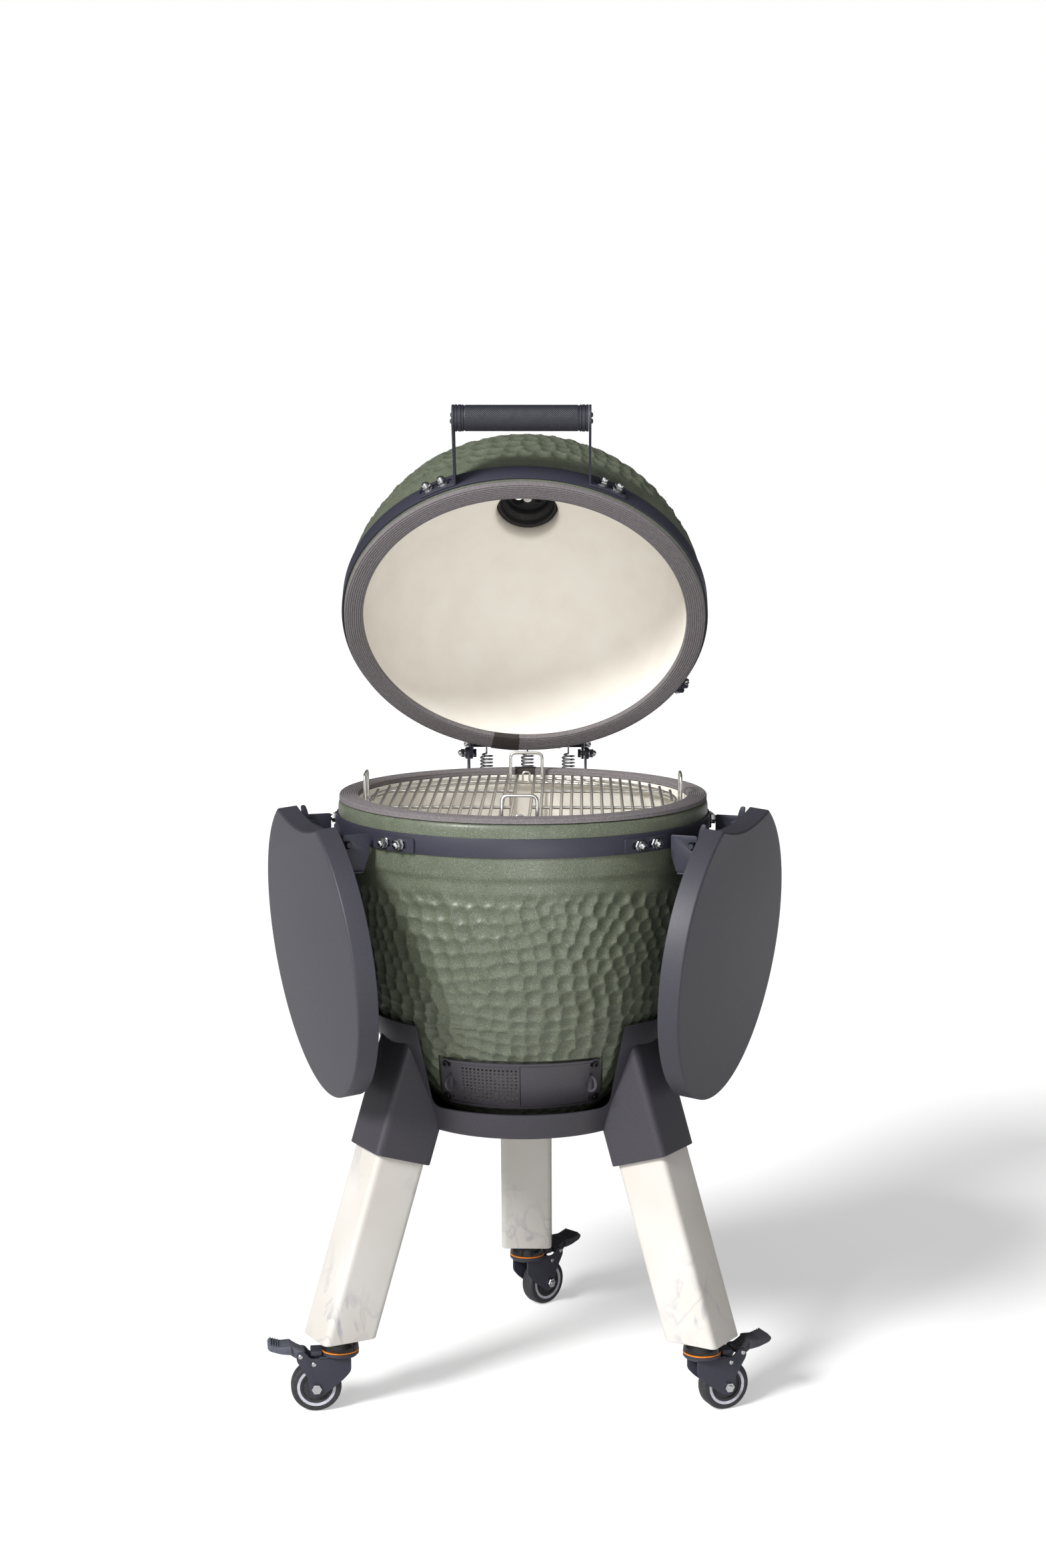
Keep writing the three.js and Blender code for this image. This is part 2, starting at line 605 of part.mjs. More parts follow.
function fork() {
  const disc = solid(turned([
    [0, SWIVEL_Z - 9], [21, SWIVEL_Z - 9], [27, SWIVEL_Z - 5], [27, SWIVEL_Z], [0, SWIVEL_Z],
  ], 16));
  const cheek = [
    [-15, 82], [-15, 60], [-4, 48], [24, 26], [34.5, 23], [44, 27],
    [47, 52], [63, 78], [62, 88], [50, 90], [44, 82],
  ];
  const cheeks = [[-CHEEK[1], -CHEEK[0]], CHEEK].map(([low, high]) =>
    cut(solid(sideways(cheek, low, high)), solid(rod(4.3, low - 1, high + 1, TRAIL, WHEEL_R)),
      solid(rod(3.3, low - 1, high + 1, ...PEDAL_AT))));
  const bridge = solid(box([-CHEEK[1], CHEEK[1]], [-8, 30], [78, 82]));
  return join(disc, bridge, ...cheeks);
}

const wheel = () => turned([
  [4.4, -WHEEL_HALF], [31, -WHEEL_HALF], [WHEEL_R, -WHEEL_HALF + 4],
  [WHEEL_R, WHEEL_HALF - 4], [31, WHEEL_HALF], [4.4, WHEEL_HALF],
], 20).rotateY(Math.PI / 2).translate(0, TRAIL, WHEEL_R);

function axle() {
  const part = (radius, low, high, sides) => solid(rod(radius, low, high, TRAIL, WHEEL_R, sides));
  return join(part(4, -23, 23, 8), part(7, -22.5, -CHEEK[1] - GAP, 6), part(7, CHEEK[1] + GAP, 22, 6));
}

function pedal() {
  const root = [[52, 79], [62, 79], [72, 86], [74, 96], [62, 92], [50, 89]];
  const tread = [[68, 85], [100, 93], [103, 97], [101, 102], [70, 97]];
  return join(
    solid(sideways(root, -13.5, 13.5)),
    solid(sideways(tread, -17.5, 17.5)),
    solid(rod(3, -CHEEK[1], CHEEK[1], ...PEDAL_AT)));
}

// ---- Assembly ---------------------------------------------------------------------------------
const grill = new THREE.Group();

place(grill, 'bowl_shell', bowlShell(), GLAZE);
place(grill, 'bowl_gasket', ring(FELT_INNER, FELT_OUTER, SEAT_Z - GAP - FELT, SEAT_Z - GAP), FELT_GREY);
const BOWL_CLAMP = 128;
const LID_CLAMP = 32;
place(grill, 'bowl_band', band(BAND_Z, BOWL_CLAMP), BLACK_STEEL);
place(grill, 'bowl_band_bolt', bandBolt(BAND_Z, BOWL_CLAMP), STAINLESS);
place(grill, 'hinge_base', bowlHinge(), BLACK_STEEL);
place(grill, 'hinge_bolt_left', hingeBolt(-1), STAINLESS);
place(grill, 'hinge_bolt_right', hingeBolt(1), STAINLESS);
for (const [i, name] of ['left', 'middle', 'right'].entries()) {
  const at = groupAt(grill, SPRING_X[i], SPRING_Y, 0);
  place(at, `spring_${name}`, spring(), STAINLESS);
}

place(grill, 'fire_box', fireBox(), CERAMIC);
place(grill, 'fire_ring', fireRing(), CERAMIC);
place(grill, 'charcoal_grate', charcoalGrate(), IRON);
place(grill, 'rack_frame', rackFrame(), STAINLESS);
place(grill, 'grate_left', grateHalf(-1), STAINLESS);
place(grill, 'grate_right', grateHalf(1), STAINLESS);

place(grill, 'vent_frame', ventFrame(), ANTHRACITE);
place(grill, 'vent_screen', ventSlide(-1, 3.5, 4.8), ANTHRACITE);
place(grill, 'vent_door', ventSlide(1, 5.4, 6.7), ANTHRACITE);

const lid = groupAt(grill, 0, HINGE_Y, HINGE_Z);
lid.rotation.x = -rad(LID_OPEN);
const closed = groupAt(lid, 0, -HINGE_Y, -HINGE_Z);
place(closed, 'lid_shell', lidShell(), GLAZE);
place(closed, 'lid_gasket', ring(FELT_INNER, FELT_OUTER, SEAT_Z + GAP, SEAT_Z + GAP + FELT), FELT_GREY);
place(closed, 'lid_band', band(LID_BAND_Z, LID_CLAMP), BLACK_STEEL);
place(closed, 'lid_band_bolt', bandBolt(LID_BAND_Z, LID_CLAMP), STAINLESS);
place(closed, 'vent_collar', ventCollar(), IRON);
place(closed, 'vent_cap', ventCap(), IRON);
place(closed, 'vent_bolt', ventBolt(), STAINLESS);
place(closed, 'handle_grip', grip(), BLACK_STEEL);
for (const [name, side] of [['left', -1], ['right', 1]]) {
  place(closed, `handle_bracket_${name}`, handleBracket(side), BLACK_STEEL);
  place(closed, `handle_cap_${name}`, gripCap(side), BLACK_STEEL);
}
place(lid, 'hinge_lid', lidHinge(), BLACK_STEEL);

for (const [name, side] of [['left', -1], ['right', 1]]) {
  const about = groupAt(grill, 0, 0, SHELF_Z, side * (-90 - SHELF_TURN));
  const line = groupAt(about, 0, SHELF_R, 0);
  const ends = side < 0 ? { front: -1, rear: 1 } : { front: 1, rear: -1 };
  place(line, `shelf_bracket_${name}_front`, shelfBracket(ends.front, side * SHELF_TURN), BLACK_STEEL);
  place(line, `shelf_bracket_${name}_rear`, shelfBracket(ends.rear, side * SHELF_TURN), BLACK_STEEL);
  const hung = groupAt(line, 0, 0, 0);
  hung.rotation.x = -rad(SHELF_DROP);
  place(hung, `shelf_${name}`, shelfTray(), ANTHRACITE);
  place(hung, `shelf_hanger_${name}`, shelfHanger(), BLACK_STEEL);
}

place(grill, 'stand_cradle', cradle(), ANTHRACITE);
for (const [name, azimuth] of Object.entries(LEG_AZIMUTH)) {
  place(grill, `leg_${name}`, leg(azimuth), MARBLE);
  const at = groupAt(grill, LEG_FOOT_R * cos(azimuth), LEG_FOOT_R * sin(azimuth), 0);
  place(at, `caster_race_${name}`, race(), BLACK_STEEL);
  const swivel = groupAt(at, 0, 0, 0, TRAIL_AZIMUTH[name] - 90);
  place(swivel, `caster_fork_${name}`, fork(), BLACK_STEEL);
  place(swivel, `caster_axle_${name}`, axle(), STAINLESS);
  place(swivel, `caster_wheel_${name}`, wheel(), RUBBER);
  place(swivel, `caster_pedal_${name}`, pedal(), ANTHRACITE);
}

// Origin: the middle of the footprint, on the floor.
const bounds = new THREE.Box3().setFromObject(grill, true);
const middle = bounds.getCenter(new THREE.Vector3());
grill.position.set(-middle.x, -middle.y, -bounds.min.z);

const group = new THREE.Group();
group.add(grill);
export default group;
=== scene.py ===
"""The looks of a ceramic charcoal grill on a caster stand, built round its CAD frame.

Pieces are drawn in millimetres about the bowl's own axis, with the lid shut, and put() sets them
into the frame: it shifts them to the bowl's place, and swings the lid's pieces open.
"""

import random
from math import acos, asin, cos, degrees, exp, hypot, pi, radians, sin, sqrt

import bmesh
import bpy
import numpy as np
from mathutils import Matrix, Vector, kdtree


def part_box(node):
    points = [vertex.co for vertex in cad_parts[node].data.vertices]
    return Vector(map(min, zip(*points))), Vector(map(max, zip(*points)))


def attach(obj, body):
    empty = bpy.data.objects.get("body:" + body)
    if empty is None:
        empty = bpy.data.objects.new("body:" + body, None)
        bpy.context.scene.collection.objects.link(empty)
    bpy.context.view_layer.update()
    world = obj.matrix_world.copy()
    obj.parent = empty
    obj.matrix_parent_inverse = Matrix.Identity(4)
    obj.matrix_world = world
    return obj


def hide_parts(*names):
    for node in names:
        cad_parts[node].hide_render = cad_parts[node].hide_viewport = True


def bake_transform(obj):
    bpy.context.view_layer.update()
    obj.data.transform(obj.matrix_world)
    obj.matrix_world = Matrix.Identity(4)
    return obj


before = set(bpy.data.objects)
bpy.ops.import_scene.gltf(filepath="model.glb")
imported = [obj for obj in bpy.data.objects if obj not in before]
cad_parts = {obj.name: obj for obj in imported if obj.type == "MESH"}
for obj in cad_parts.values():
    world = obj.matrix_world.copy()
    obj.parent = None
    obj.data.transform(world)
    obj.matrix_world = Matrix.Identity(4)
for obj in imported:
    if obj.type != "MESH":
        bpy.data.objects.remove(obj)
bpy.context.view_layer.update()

# ---- Places read from the frame ---------------------------------------------------------------
seat_low, seat_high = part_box("bowl_gasket")
AXIS = Vector(((seat_low.x + seat_high.x) / 2, (seat_low.y + seat_high.y) / 2, 0))

# ---- Driving dimensions, in millimetres -------------------------------------------------------
ROUND = 144  # sides of a large turned piece
HINGE_Y = 286
HINGE_Z = 890
LID_OPEN = 52  # degrees

FELT_INNER = 236.5
FELT_OUTER = 264
BOWL_FELT = (863.5, 872.2)
LID_FELT = (872.8, 881.5)
COLLAR_R = 265.5
BAND_INNER = 265.8
BAND_OUTER = 268.3
FOOT_INNER = 268.6
FOOT_THICK = 3.0
BOWL_BAND = (817.7, 844.1)
LID_BAND = (883, 909)
BOWL_CLAMP = 128  # azimuths of the two clamps
LID_CLAMP = 32

BOWL_TOP = 863.2
BOWL_BASE = 405
BOWL_R = 262
BOWL_DEPTH = 400
SHOULDER_Z = 780
CAVITY_R = 235
CAVITY_DEPTH = 347
DIMPLE_PITCH = 22.5
DIMPLE_ROW = DIMPLE_PITCH * 0.866  # from one row to the next
DIMPLE_REACH = DIMPLE_PITCH * 0.6
DIMPLE_DEPTH = 4.6
DIMPLE_TOP = 771  # the dimples fade out below this height
MOULD_LINE = 569
GRID = 2.2  # spacing of the glazed surface's points
COLUMNS = 756  # of points round a glazed surface

LID_BOTTOM = 881.8
DOME_Z = 905
DOME_R = 264
DOME_HEIGHT = 245
DOME_WALL = 27.5
CHIMNEY_R = 47.5
LID_DIMPLES = 932

GRATE_R = 220
GRATE_Z = 859.5
BAR_Z = 864.3
BAR_PITCH = 14.3
BARS = 15
WIRE = 2.35  # radius
RACK_R = 224
RACK_HOOPS = (773.4, 852.9)
HANDLE_TOP = 898

GRIP_Y = -352
GRIP_Z = 910
GRIP_R = 18.2
GRIP_HALF = 92.7

SPRING_X = {"left": -63.4, "middle": 0, "right": 63.4}
SPRING_Y = 312
SPRING_Z = (800, 900)

SHELF_TURN = 20.5
SHELF_R = 289
SHELF_Z = 824
SHELF_DROP = 96
SHELF_TOP = 46
SHELF_DEEP = 30
SHELF_WALL = 3

VENT_Z = (441, 517)
VENT_R = 142
VENT_SLOPE = 50 / 76
VENT_HALF = 112
SLIDE_HALF = 102.5  # round the cone
SLIDE_THICK = 1.3
HOLE_R = 1.75
HOLE_FIRST = (-83.2, 7.5)
HOLE_STEP = (5.95, 5.8)
HOLE_COUNT = (14, 10)

LEG_AZIMUTH = {"front_left": 210, "front_right": -30, "rear": 90}
TRAIL_AZIMUTH = {"front_left": 188, "front_right": 25, "rear": 45}
LEG_SPLAY = 17.7
LEG_SIZE = 78
SOCKET_SIZE = 92
LEG_FOOT_Z = 108
LEG_FOOT_R = 298
SOCKET_Z = 364
CRADLE_TOP = 565
CRADLE_BOTTOM = 400

SWIVEL_Z = 88
TRAIL = 34.5
WHEEL_R = 36
WHEEL_HALF = 12

SIDES = (("left", -1), ("right", 1))


# ---- Light ------------------------------------------------------------------------------------
SKY_POWER = 0.06  # from every side
LOBE_POWER = 1.1  # a wide soft light in front
LOBE_FROM = (-0.35, -0.9, 0.15)
SUN_POWER = 3.0
SUN_ANGLE = 16  # degrees across, for soft shadows
SUN_FROM = (-1.0, -1.2, 1.15)
LID_LAMP_POWER = 170  # watts, on the inside of the open lid
LID_LAMP_AT = (300, -2500, 600)
LID_LAMP_AIM = (0, 120, 1200)
LID_LAMP_CONE = 17  # degrees
FLOOR_GLOW = 0.4  # keeps the white floor white
FLOOR_BOUNCE = 238  # the grey that the floor lights the grill with
FLOOR_HALF = 40  # metres

CAMERA_AT = (86.5, -3903.4, 1430.8)
CAMERA_TILT = 82  # degrees
CAMERA_TURN = 1.27
CAMERA_LENS = 62.87


# ---- Shapes -----------------------------------------------------------------------------------
def spin(angle, axis="Z"):
    """A turn in degrees."""
    return Matrix.Rotation(radians(angle), 4, axis)


class Shape:
    """Points, faces, and each face's number in its piece's list of materials."""

    def __init__(self, points, faces, paint=0):
        self.points = np.asarray(points, float).reshape(-1, 3)
        self.faces = [tuple(face) for face in faces]
        self.paint = [paint] * len(self.faces) if isinstance(paint, int) else list(paint)

    def moved(self, matrix):
        turn = np.array(matrix.to_3x3())
        return Shape(self.points @ turn.T + np.array(matrix.translation), self.faces, self.paint)

    def shifted(self, x=0.0, y=0.0, z=0.0):
        return self.moved(Matrix.Translation((x, y, z)))

    def turned(self, angle, axis="Z"):
        return self.moved(spin(angle, axis))

    def painted(self, number):
        return Shape(self.points, self.faces, number)


def join(*shapes):
    points, faces, paint, first = [], [], [], 0
    for shape in shapes:
        points.append(shape.points)
        faces += [tuple(first + i for i in face) for face in shape.faces]
        paint += shape.paint
        first += len(shape.points)
    return Shape(np.concatenate(points), faces, paint)


def loft(sections, around=False):
    """A skin over loops of equal length. around closes it on its first loop."""
    sections = np.asarray(sections, float)
    count, size = sections.shape[:2]
    faces = []
    for i in range(count if around else count - 1):
        a, b = i * size, ((i + 1) % count) * size
        faces += [(a + k, a + (k + 1) % size, b + (k + 1) % size, b + k) for k in range(size)]
    if not around:
        faces.append(tuple(reversed(range(size))))
        faces.append(tuple(range((count - 1) * size, count * size)))
    return Shape(sections.reshape(-1, 3), faces)


def revolve(profile, sides=ROUND, start=0.0, sweep=360.0):
    """A loop of (radius, z) turned about Z. It may start and end on the axis."""
    profile = np.array(profile, float)
    full = sweep >= 360
    angle = np.radians(start + sweep * np.arange(sides + (not full)) / sides)
    r, z = profile[:, 0], profile[:, 1]
    sections = np.stack([
        np.outer(np.cos(angle), r), np.outer(np.sin(angle), r), np.tile(z, (len(angle), 1)),
    ], -1)
    return loft(sections, around=full)


def soften(points, radius, steps=4, closed=True):
    """Rounds an outline's corners, or a path's bends."""
    points = [np.array(p, float) for p in points]
    smooth = []
    for i, corner in enumerate(points):
        if not closed and i in (0, len(points) - 1):
            smooth.append(corner)
            continue
        ahead = points[(i + 1) % len(points)] - corner
        behind = points[i - 1] - corner
        lengths = np.linalg.norm(ahead), np.linalg.norm(behind)
        reach = min(radius, 0.45 * min(lengths))
        a, b = corner + behind / lengths[1] * reach, corner + ahead / lengths[0] * reach
        for t in np.linspace(0, 1, steps + 1):
            smooth.append((1 - t) ** 2 * a + 2 * t * (1 - t) * corner + t * t * b)
    return np.array(smooth)


def inset(outline, distance):
    """An outline moved inwards by a distance."""
    outline = np.asarray(outline, float)
    after, before = np.roll(outline, -1, 0) - outline, outline - np.roll(outline, 1, 0)
    x, y = outline.T
    area = np.sum(x * np.roll(y, -1) - y * np.roll(x, -1))
    sides = []
    for edge in (before, after):
        edge = edge / np.maximum(np.linalg.norm(edge, axis=1, keepdims=True), 1e-9)
        sides.append(np.stack([-edge[:, 1], edge[:, 0]], -1) * (1 if area > 0 else -1))
    middle = sides[0] + sides[1]
    scale = np.maximum(np.sum(middle * sides[0], axis=1, keepdims=True), 0.35)
    return outline + middle / scale * distance


def plate(outline, low, high, edge=0.6):
    """An outline in X and Y, from z = low to high, with its edges eased."""
    ease = [(edge * (1 - sin(t)), edge * (1 - cos(t))) for t in (0, pi / 4, pi / 2)]
    loops = [(d, low + rise) for d, rise in ease] + [(d, high - rise) for d, rise in ease[::-1]]
    return loft([np.c_[inset(outline, d), np.full(len(outline), z)] for d, z in loops])


# Sets a plate's X, Y and Z along Y, Z and X.
ALONG_X = Matrix(((0, 0, 1, 0), (1, 0, 0, 0), (0, 1, 0, 0), (0, 0, 0, 1)))


def sideways(outline, low, high, edge=0.6):
    """An outline in Y and Z, from x = low to high."""
    return plate(outline, low, high, edge).moved(ALONG_X)


def box(x, y, z, edge=0.0):
    corners = [(x[0], y[0]), (x[1], y[0]), (x[1], y[1]), (x[0], y[1])]
    if edge:
        return plate(soften(corners, edge * 1.5, 3), z[0], z[1], edge)
    return loft([[(u, v, w) for u, v in corners] for w in z])


def circle(radius, sides, at=(0, 0), start=0.0):
    return np.array([
        (at[0] + radius * cos(radians(start + 360 * i / sides)),
         at[1] + radius * sin(radians(start + 360 * i / sides)))
        for i in range(sides)])


def lathe(profile, sides=32):
    """A short turned piece along Z, whose profile starts and ends on the axis."""
    return revolve([(0, profile[0][1]), *profile, (0, profile[-1][1])], sides)


def tube(path, radius, sides=12, closed=False):
    path = np.array(path, float)
    tangent = np.roll(path, -1, 0) - np.roll(path, 1, 0)
    if not closed:
        tangent[0], tangent[-1] = path[1] - path[0], path[-1] - path[-2]
    tangent /= np.linalg.norm(tangent, axis=1, keepdims=True)
    normal = np.cross(tangent[0], (0.3, 0.1, 1.0))
    if np.linalg.norm(normal) < 0.3:
        normal = np.cross(tangent[0], (1.0, 0.2, 0))
    turns = np.radians(np.arange(sides) * 360 / sides)
    sections = []
    for point, along in zip(path, tangent):
        normal = normal - along * np.dot(normal, along)
        normal /= np.linalg.norm(normal)
        other = np.cross(along, normal)
        sections.append(point + radius * (
            np.outer(np.cos(turns), normal) + np.outer(np.sin(turns), other)))
    return loft(sections, around=closed)


def aimed(shape, at, toward):
    """Sets a shape that is drawn along Z at a point, along a direction."""
    turn = Vector(toward).to_track_quat("Z", "Y").to_matrix().to_4x4()
    return shape.moved(Matrix.Translation(at) @ turn)


def pad(span, rise):
    """A plate with rounded corners that lies round the bowl: span in degrees, rise in z."""
    low, high = rise
    radius, corner, edge = FOOT_INNER, 3.5, 0.7
    half = radians(span[1] - span[0]) / 2 * radius
    middle = (span[0] + span[1]) / 2
    near = np.array([0, 0.12, 0.35, 0.65, 1.0]) * corner
    stations = np.concatenate([-half + near, np.linspace(-half + corner, half - corner, 14)[1:-1],
                               half - near[::-1]])
    sections = []
    for i, s in enumerate(stations):
        short = max(0.0, corner - (half - abs(s)))
        trim = corner - sqrt(max(corner ** 2 - short ** 2, 0))
        top = radius + FOOT_THICK - (edge if i in (0, len(stations) - 1) else 0)
        angle = radians(middle) + s / radius
        loop = [(radius, low + trim), (radius, high - trim), (top - edge, high - trim),
                (top, high - trim - edge), (top, low + trim + edge), (top - edge, low + trim)]
        sections.append([(r * cos(angle), r * sin(angle), z) for r, z in loop])
    return loft(sections)


# ---- From shapes to pieces --------------------------------------------------------------------
def add(name, data):
    """Puts a new object into the scene."""
    item = bpy.data.objects.new(name, data)
    bpy.context.scene.collection.objects.link(item)
    return item


def mesh_of(name, shape, merge=0.002):
    """A mesh with no doubled points, whose faces all look outwards."""
    mesh = bpy.data.meshes.new(name)
    mesh.from_pydata(shape.points.tolist(), [], shape.faces)
    mesh.polygons.foreach_set("material_index", shape.paint)
    clean = bmesh.new()
    clean.from_mesh(mesh)
    bmesh.ops.remove_doubles(clean, verts=clean.verts, dist=merge)
    bmesh.ops.recalc_face_normals(clean, faces=clean.faces)
    clean.to_mesh(mesh)
    clean.free()
    return mesh


def combine(shape, tool, operation="DIFFERENCE"):
    """One shape cut by, joined to or limited to another."""
    pair = [add("temporary", mesh_of("temporary", s)) for s in (shape, tool)]
    for item in pair:
        for _ in range(3):
            item.data.materials.append(None)
    modifier = pair[0].modifiers.new("cut", "BOOLEAN")
    modifier.operation = operation
    modifier.solver = "MANIFOLD"
    modifier.object = pair[1]
    bpy.context.view_layer.update()
    result = pair[0].evaluated_get(bpy.context.evaluated_depsgraph_get()).to_mesh()
    points = np.empty(len(result.vertices) * 3)
    result.vertices.foreach_get("co", points)
    faces = [tuple(p.vertices) for p in result.polygons]
    made = Shape(points, faces, [p.material_index for p in result.polygons])
    for item in pair:
        mesh = item.data
        bpy.data.objects.remove(item)
        bpy.data.meshes.remove(mesh)
    return made


def cut(shape, *tools):
    for tool in tools:
        shape = combine(shape, tool)
    return shape


LID_SWING = (Matrix.Translation((0, HINGE_Y, HINGE_Z))
             @ spin(-LID_OPEN, "X")
             @ Matrix.Translation((0, -HINGE_Y, -HINGE_Z)))
TO_METRES = Matrix.Translation(AXIS) @ Matrix.Diagonal((0.001, 0.001, 0.001, 1))


def put(name, shape, materials, body, stands_for=(), sharp=35):
    """Makes one piece of the visual model. A piece on the lid is drawn shut and set open."""
    if body in ("lid", "vent_cap"):
        shape = shape.moved(LID_SWING)
    mesh = mesh_of(name, shape.moved(TO_METRES), 0.002 * 0.001)
    mesh.shade_smooth()
    mesh.set_sharp_from_angle(angle=radians(sharp))
    for material in materials if isinstance(materials, list) else [materials]:
        mesh.materials.append(material)
    piece = add(name, mesh)
    if body:
        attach(piece, body)
    if stands_for:
        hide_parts(*stands_for)
    return piece


# ---- Materials --------------------------------------------------------------------------------
def linear(colour):
    """An sRGB colour of 0 to 255 as linear light."""
    return [((c / 255 + 0.055) / 1.055) ** 2.4 if c > 10 else c / 255 / 12.92 for c in colour] + [1]


class Paint:
    """A Principled material, with noise in millimetres about the frame's origin."""

    def __init__(self, name, colour, roughness, metallic=0.0):
        self.material = bpy.data.materials.new(name)
        self.material.use_nodes = True
        self.nodes = self.material.node_tree.nodes
        self.links = self.material.node_tree.links
        self.shader = self.nodes["Principled BSDF"]
        self.shader.inputs["Base Color"].default_value = linear(colour)
        self.shader.inputs["Roughness"].default_value = roughness
        self.shader.inputs["Metallic"].default_value = metallic
        self.place = self.nodes.new("ShaderNodeTexCoord").outputs["Object"]

    def noise(self, size, detail=2.0, distortion=0.0, stretch=(1, 1, 1)):
        """Noise whose features are about size millimetres across."""
        mapping = self.nodes.new("ShaderNodeMapping")
        mapping.inputs["Scale"].default_value = [s / (size * 0.001) for s in stretch]
        texture = self.nodes.new("ShaderNodeTexNoise")
        texture.inputs["Scale"].default_value = 1
        texture.inputs["Detail"].default_value = detail
        texture.inputs["Distortion"].default_value = distortion
        self.links.new(self.place, mapping.inputs["Vector"])
        self.links.new(mapping.outputs["Vector"], texture.inputs["Vector"])
        return texture.outputs["Fac"]

    def ramp(self, value, *stops):
        """Colours or grey values along a 0 to 1 value."""
        node = self.nodes.new("ShaderNodeValToRGB")
        elements = node.color_ramp.elements
        while len(elements) < len(stops):
            elements.new(0.5)
        for element, (at, colour) in zip(elements, stops):
            element.position = at
            element.color = linear(colour) if isinstance(colour, tuple) else (colour,) * 3 + (1,)
        self.links.new(value, node.inputs["Fac"])
        return node.outputs["Color"]

    def feed(self, socket, value):
        """Sets a socket to a number or a colour, or links it."""
        if isinstance(value, bpy.types.NodeSocket):
            self.links.new(value, socket)
        else:
            socket.default_value = linear(value) if isinstance(value, tuple) else value

    def mix(self, share, a, b):
        node = self.nodes.new("ShaderNodeMix")
        node.data_type = "RGBA"
        for socket, value in (("Factor", share), ("A", a), ("B", b)):
            self.feed(node.inputs[socket], value)
        return node.outputs["Result"]

    def multiply(self, a, b):
        node = self.nodes.new("ShaderNodeMath")
        node.operation = "MULTIPLY"
        self.feed(node.inputs[0], a)
        self.feed(node.inputs[1], b)
        return node.outputs["Value"]

    def colour(self, socket):
        self.links.new(socket, self.shader.inputs["Base Color"])

    def roughness(self, value, low, high):
        self.links.new(self.ramp(value, (0.3, low), (0.7, high)), self.shader.inputs["Roughness"])

    def bump(self, height, depth):
        """Relief of about depth millimetres."""
        node = self.nodes.new("ShaderNodeBump")
        node.inputs["Distance"].default_value = depth * 0.001
        node.inputs["Strength"].default_value = 1.0
        self.links.new(height, node.inputs["Height"])
        self.links.new(node.outputs["Normal"], self.shader.inputs["Normal"])


def glaze():
    """Satin green glaze with soft mottling, and a fine light speckle that is painted glint, standing
    in for the glaze's sparkle.
    """
    paint = Paint("green_glaze", (99, 114, 87), 0.4)
    base = paint.ramp(paint.noise(26, 3), (0.3, (91, 98, 80)), (0.7, (101, 108, 91)))
    # Painted glint: fine light flecks stand in for the sparkle of the glaze.
    painted_glint = paint.ramp(paint.noise(1.2, 2), (0.52, 0.0), (0.70, 0.6))
    dark = paint.ramp(paint.noise(1.7, 3, stretch=(1.1, 0.9, 1)), (0.30, 0.5), (0.44, 0.0))
    paint.colour(paint.mix(dark, paint.mix(painted_glint, base, (155, 160, 145)), (60, 66, 52)))
    paint.roughness(paint.noise(3, 2), 0.33, 0.46)
    paint.bump(paint.noise(1.3, 3), 0.09)
    return paint.material


def two_tone(name, colour, rough, low, high, grain, relief, depth, metallic=0.0):
    """A finish that varies between two colours. grain and relief are noises' sizes and details."""
    paint = Paint(name, colour, rough, metallic)
    paint.colour(paint.ramp(paint.noise(*grain), (0.3, low), (0.7, high)))
    paint.bump(paint.noise(*relief), depth)
    return paint


def shades(colour, share):
    """A colour made darker and lighter by a share."""
    return tuple(c * (1 - share) for c in colour), tuple(min(255, c * (1 + share)) for c in colour)


def powder_coat(name, colour, rough):
    """Powder coat: a fine pebbled skin, a little uneven in colour."""
    paint = two_tone(name, colour, rough, *shades(colour, 0.08), (1.2, 2), (0.9, 2), 0.035)
    paint.roughness(paint.noise(1.0, 2), rough - 0.04, rough + 0.06)
    return paint.material


def plastic(name, colour, rough):
    """Moulded plastic, or an enamel, with a faint texture."""
    paint = two_tone(name, colour, rough, *shades(colour, 0.06), (5, 2), (0.8, 2), 0.02)
    return paint.material


def steel(name, colour, rough):
    """Bright metal, a little uneven in gloss."""
    paint = Paint(name, colour, rough, 1.0)
    grain = paint.noise(0.8, 3)
    paint.roughness(grain, max(rough - 0.06, 0.03), rough + 0.08)
    paint.bump(grain, 0.01)
    return paint.material


def marble():
    """White stone print with sparse blue-grey veins and soft clouds."""
    paint = Paint("marble_print", (223, 218, 213), 0.34)
    warm = paint.ramp(paint.noise(120, 2), (0.3, (216, 210, 201)), (0.7, (226, 222, 217)))
    ground = paint.noise(95, 4, 1.6, (1.0, 1.0, 0.62))
    vein = paint.ramp(ground, (0.480, 0.0), (0.498, 0.3), (0.502, 0.3), (0.545, 0.0))
    place = paint.ramp(paint.noise(170, 1, 0.4), (0.53, 0.0), (0.70, 1.0))
    cloud = paint.ramp(paint.noise(48, 4, 1.4, (1.3, 1.3, 0.6)), (0.54, 0.0), (0.76, 0.75))
    faint = paint.mix(paint.multiply(cloud, place), warm, (157, 157, 174))
    paint.colour(paint.mix(paint.multiply(vein, place), faint, (140, 140, 157)))
    paint.bump(paint.noise(6, 2), 0.02)
    return paint.material


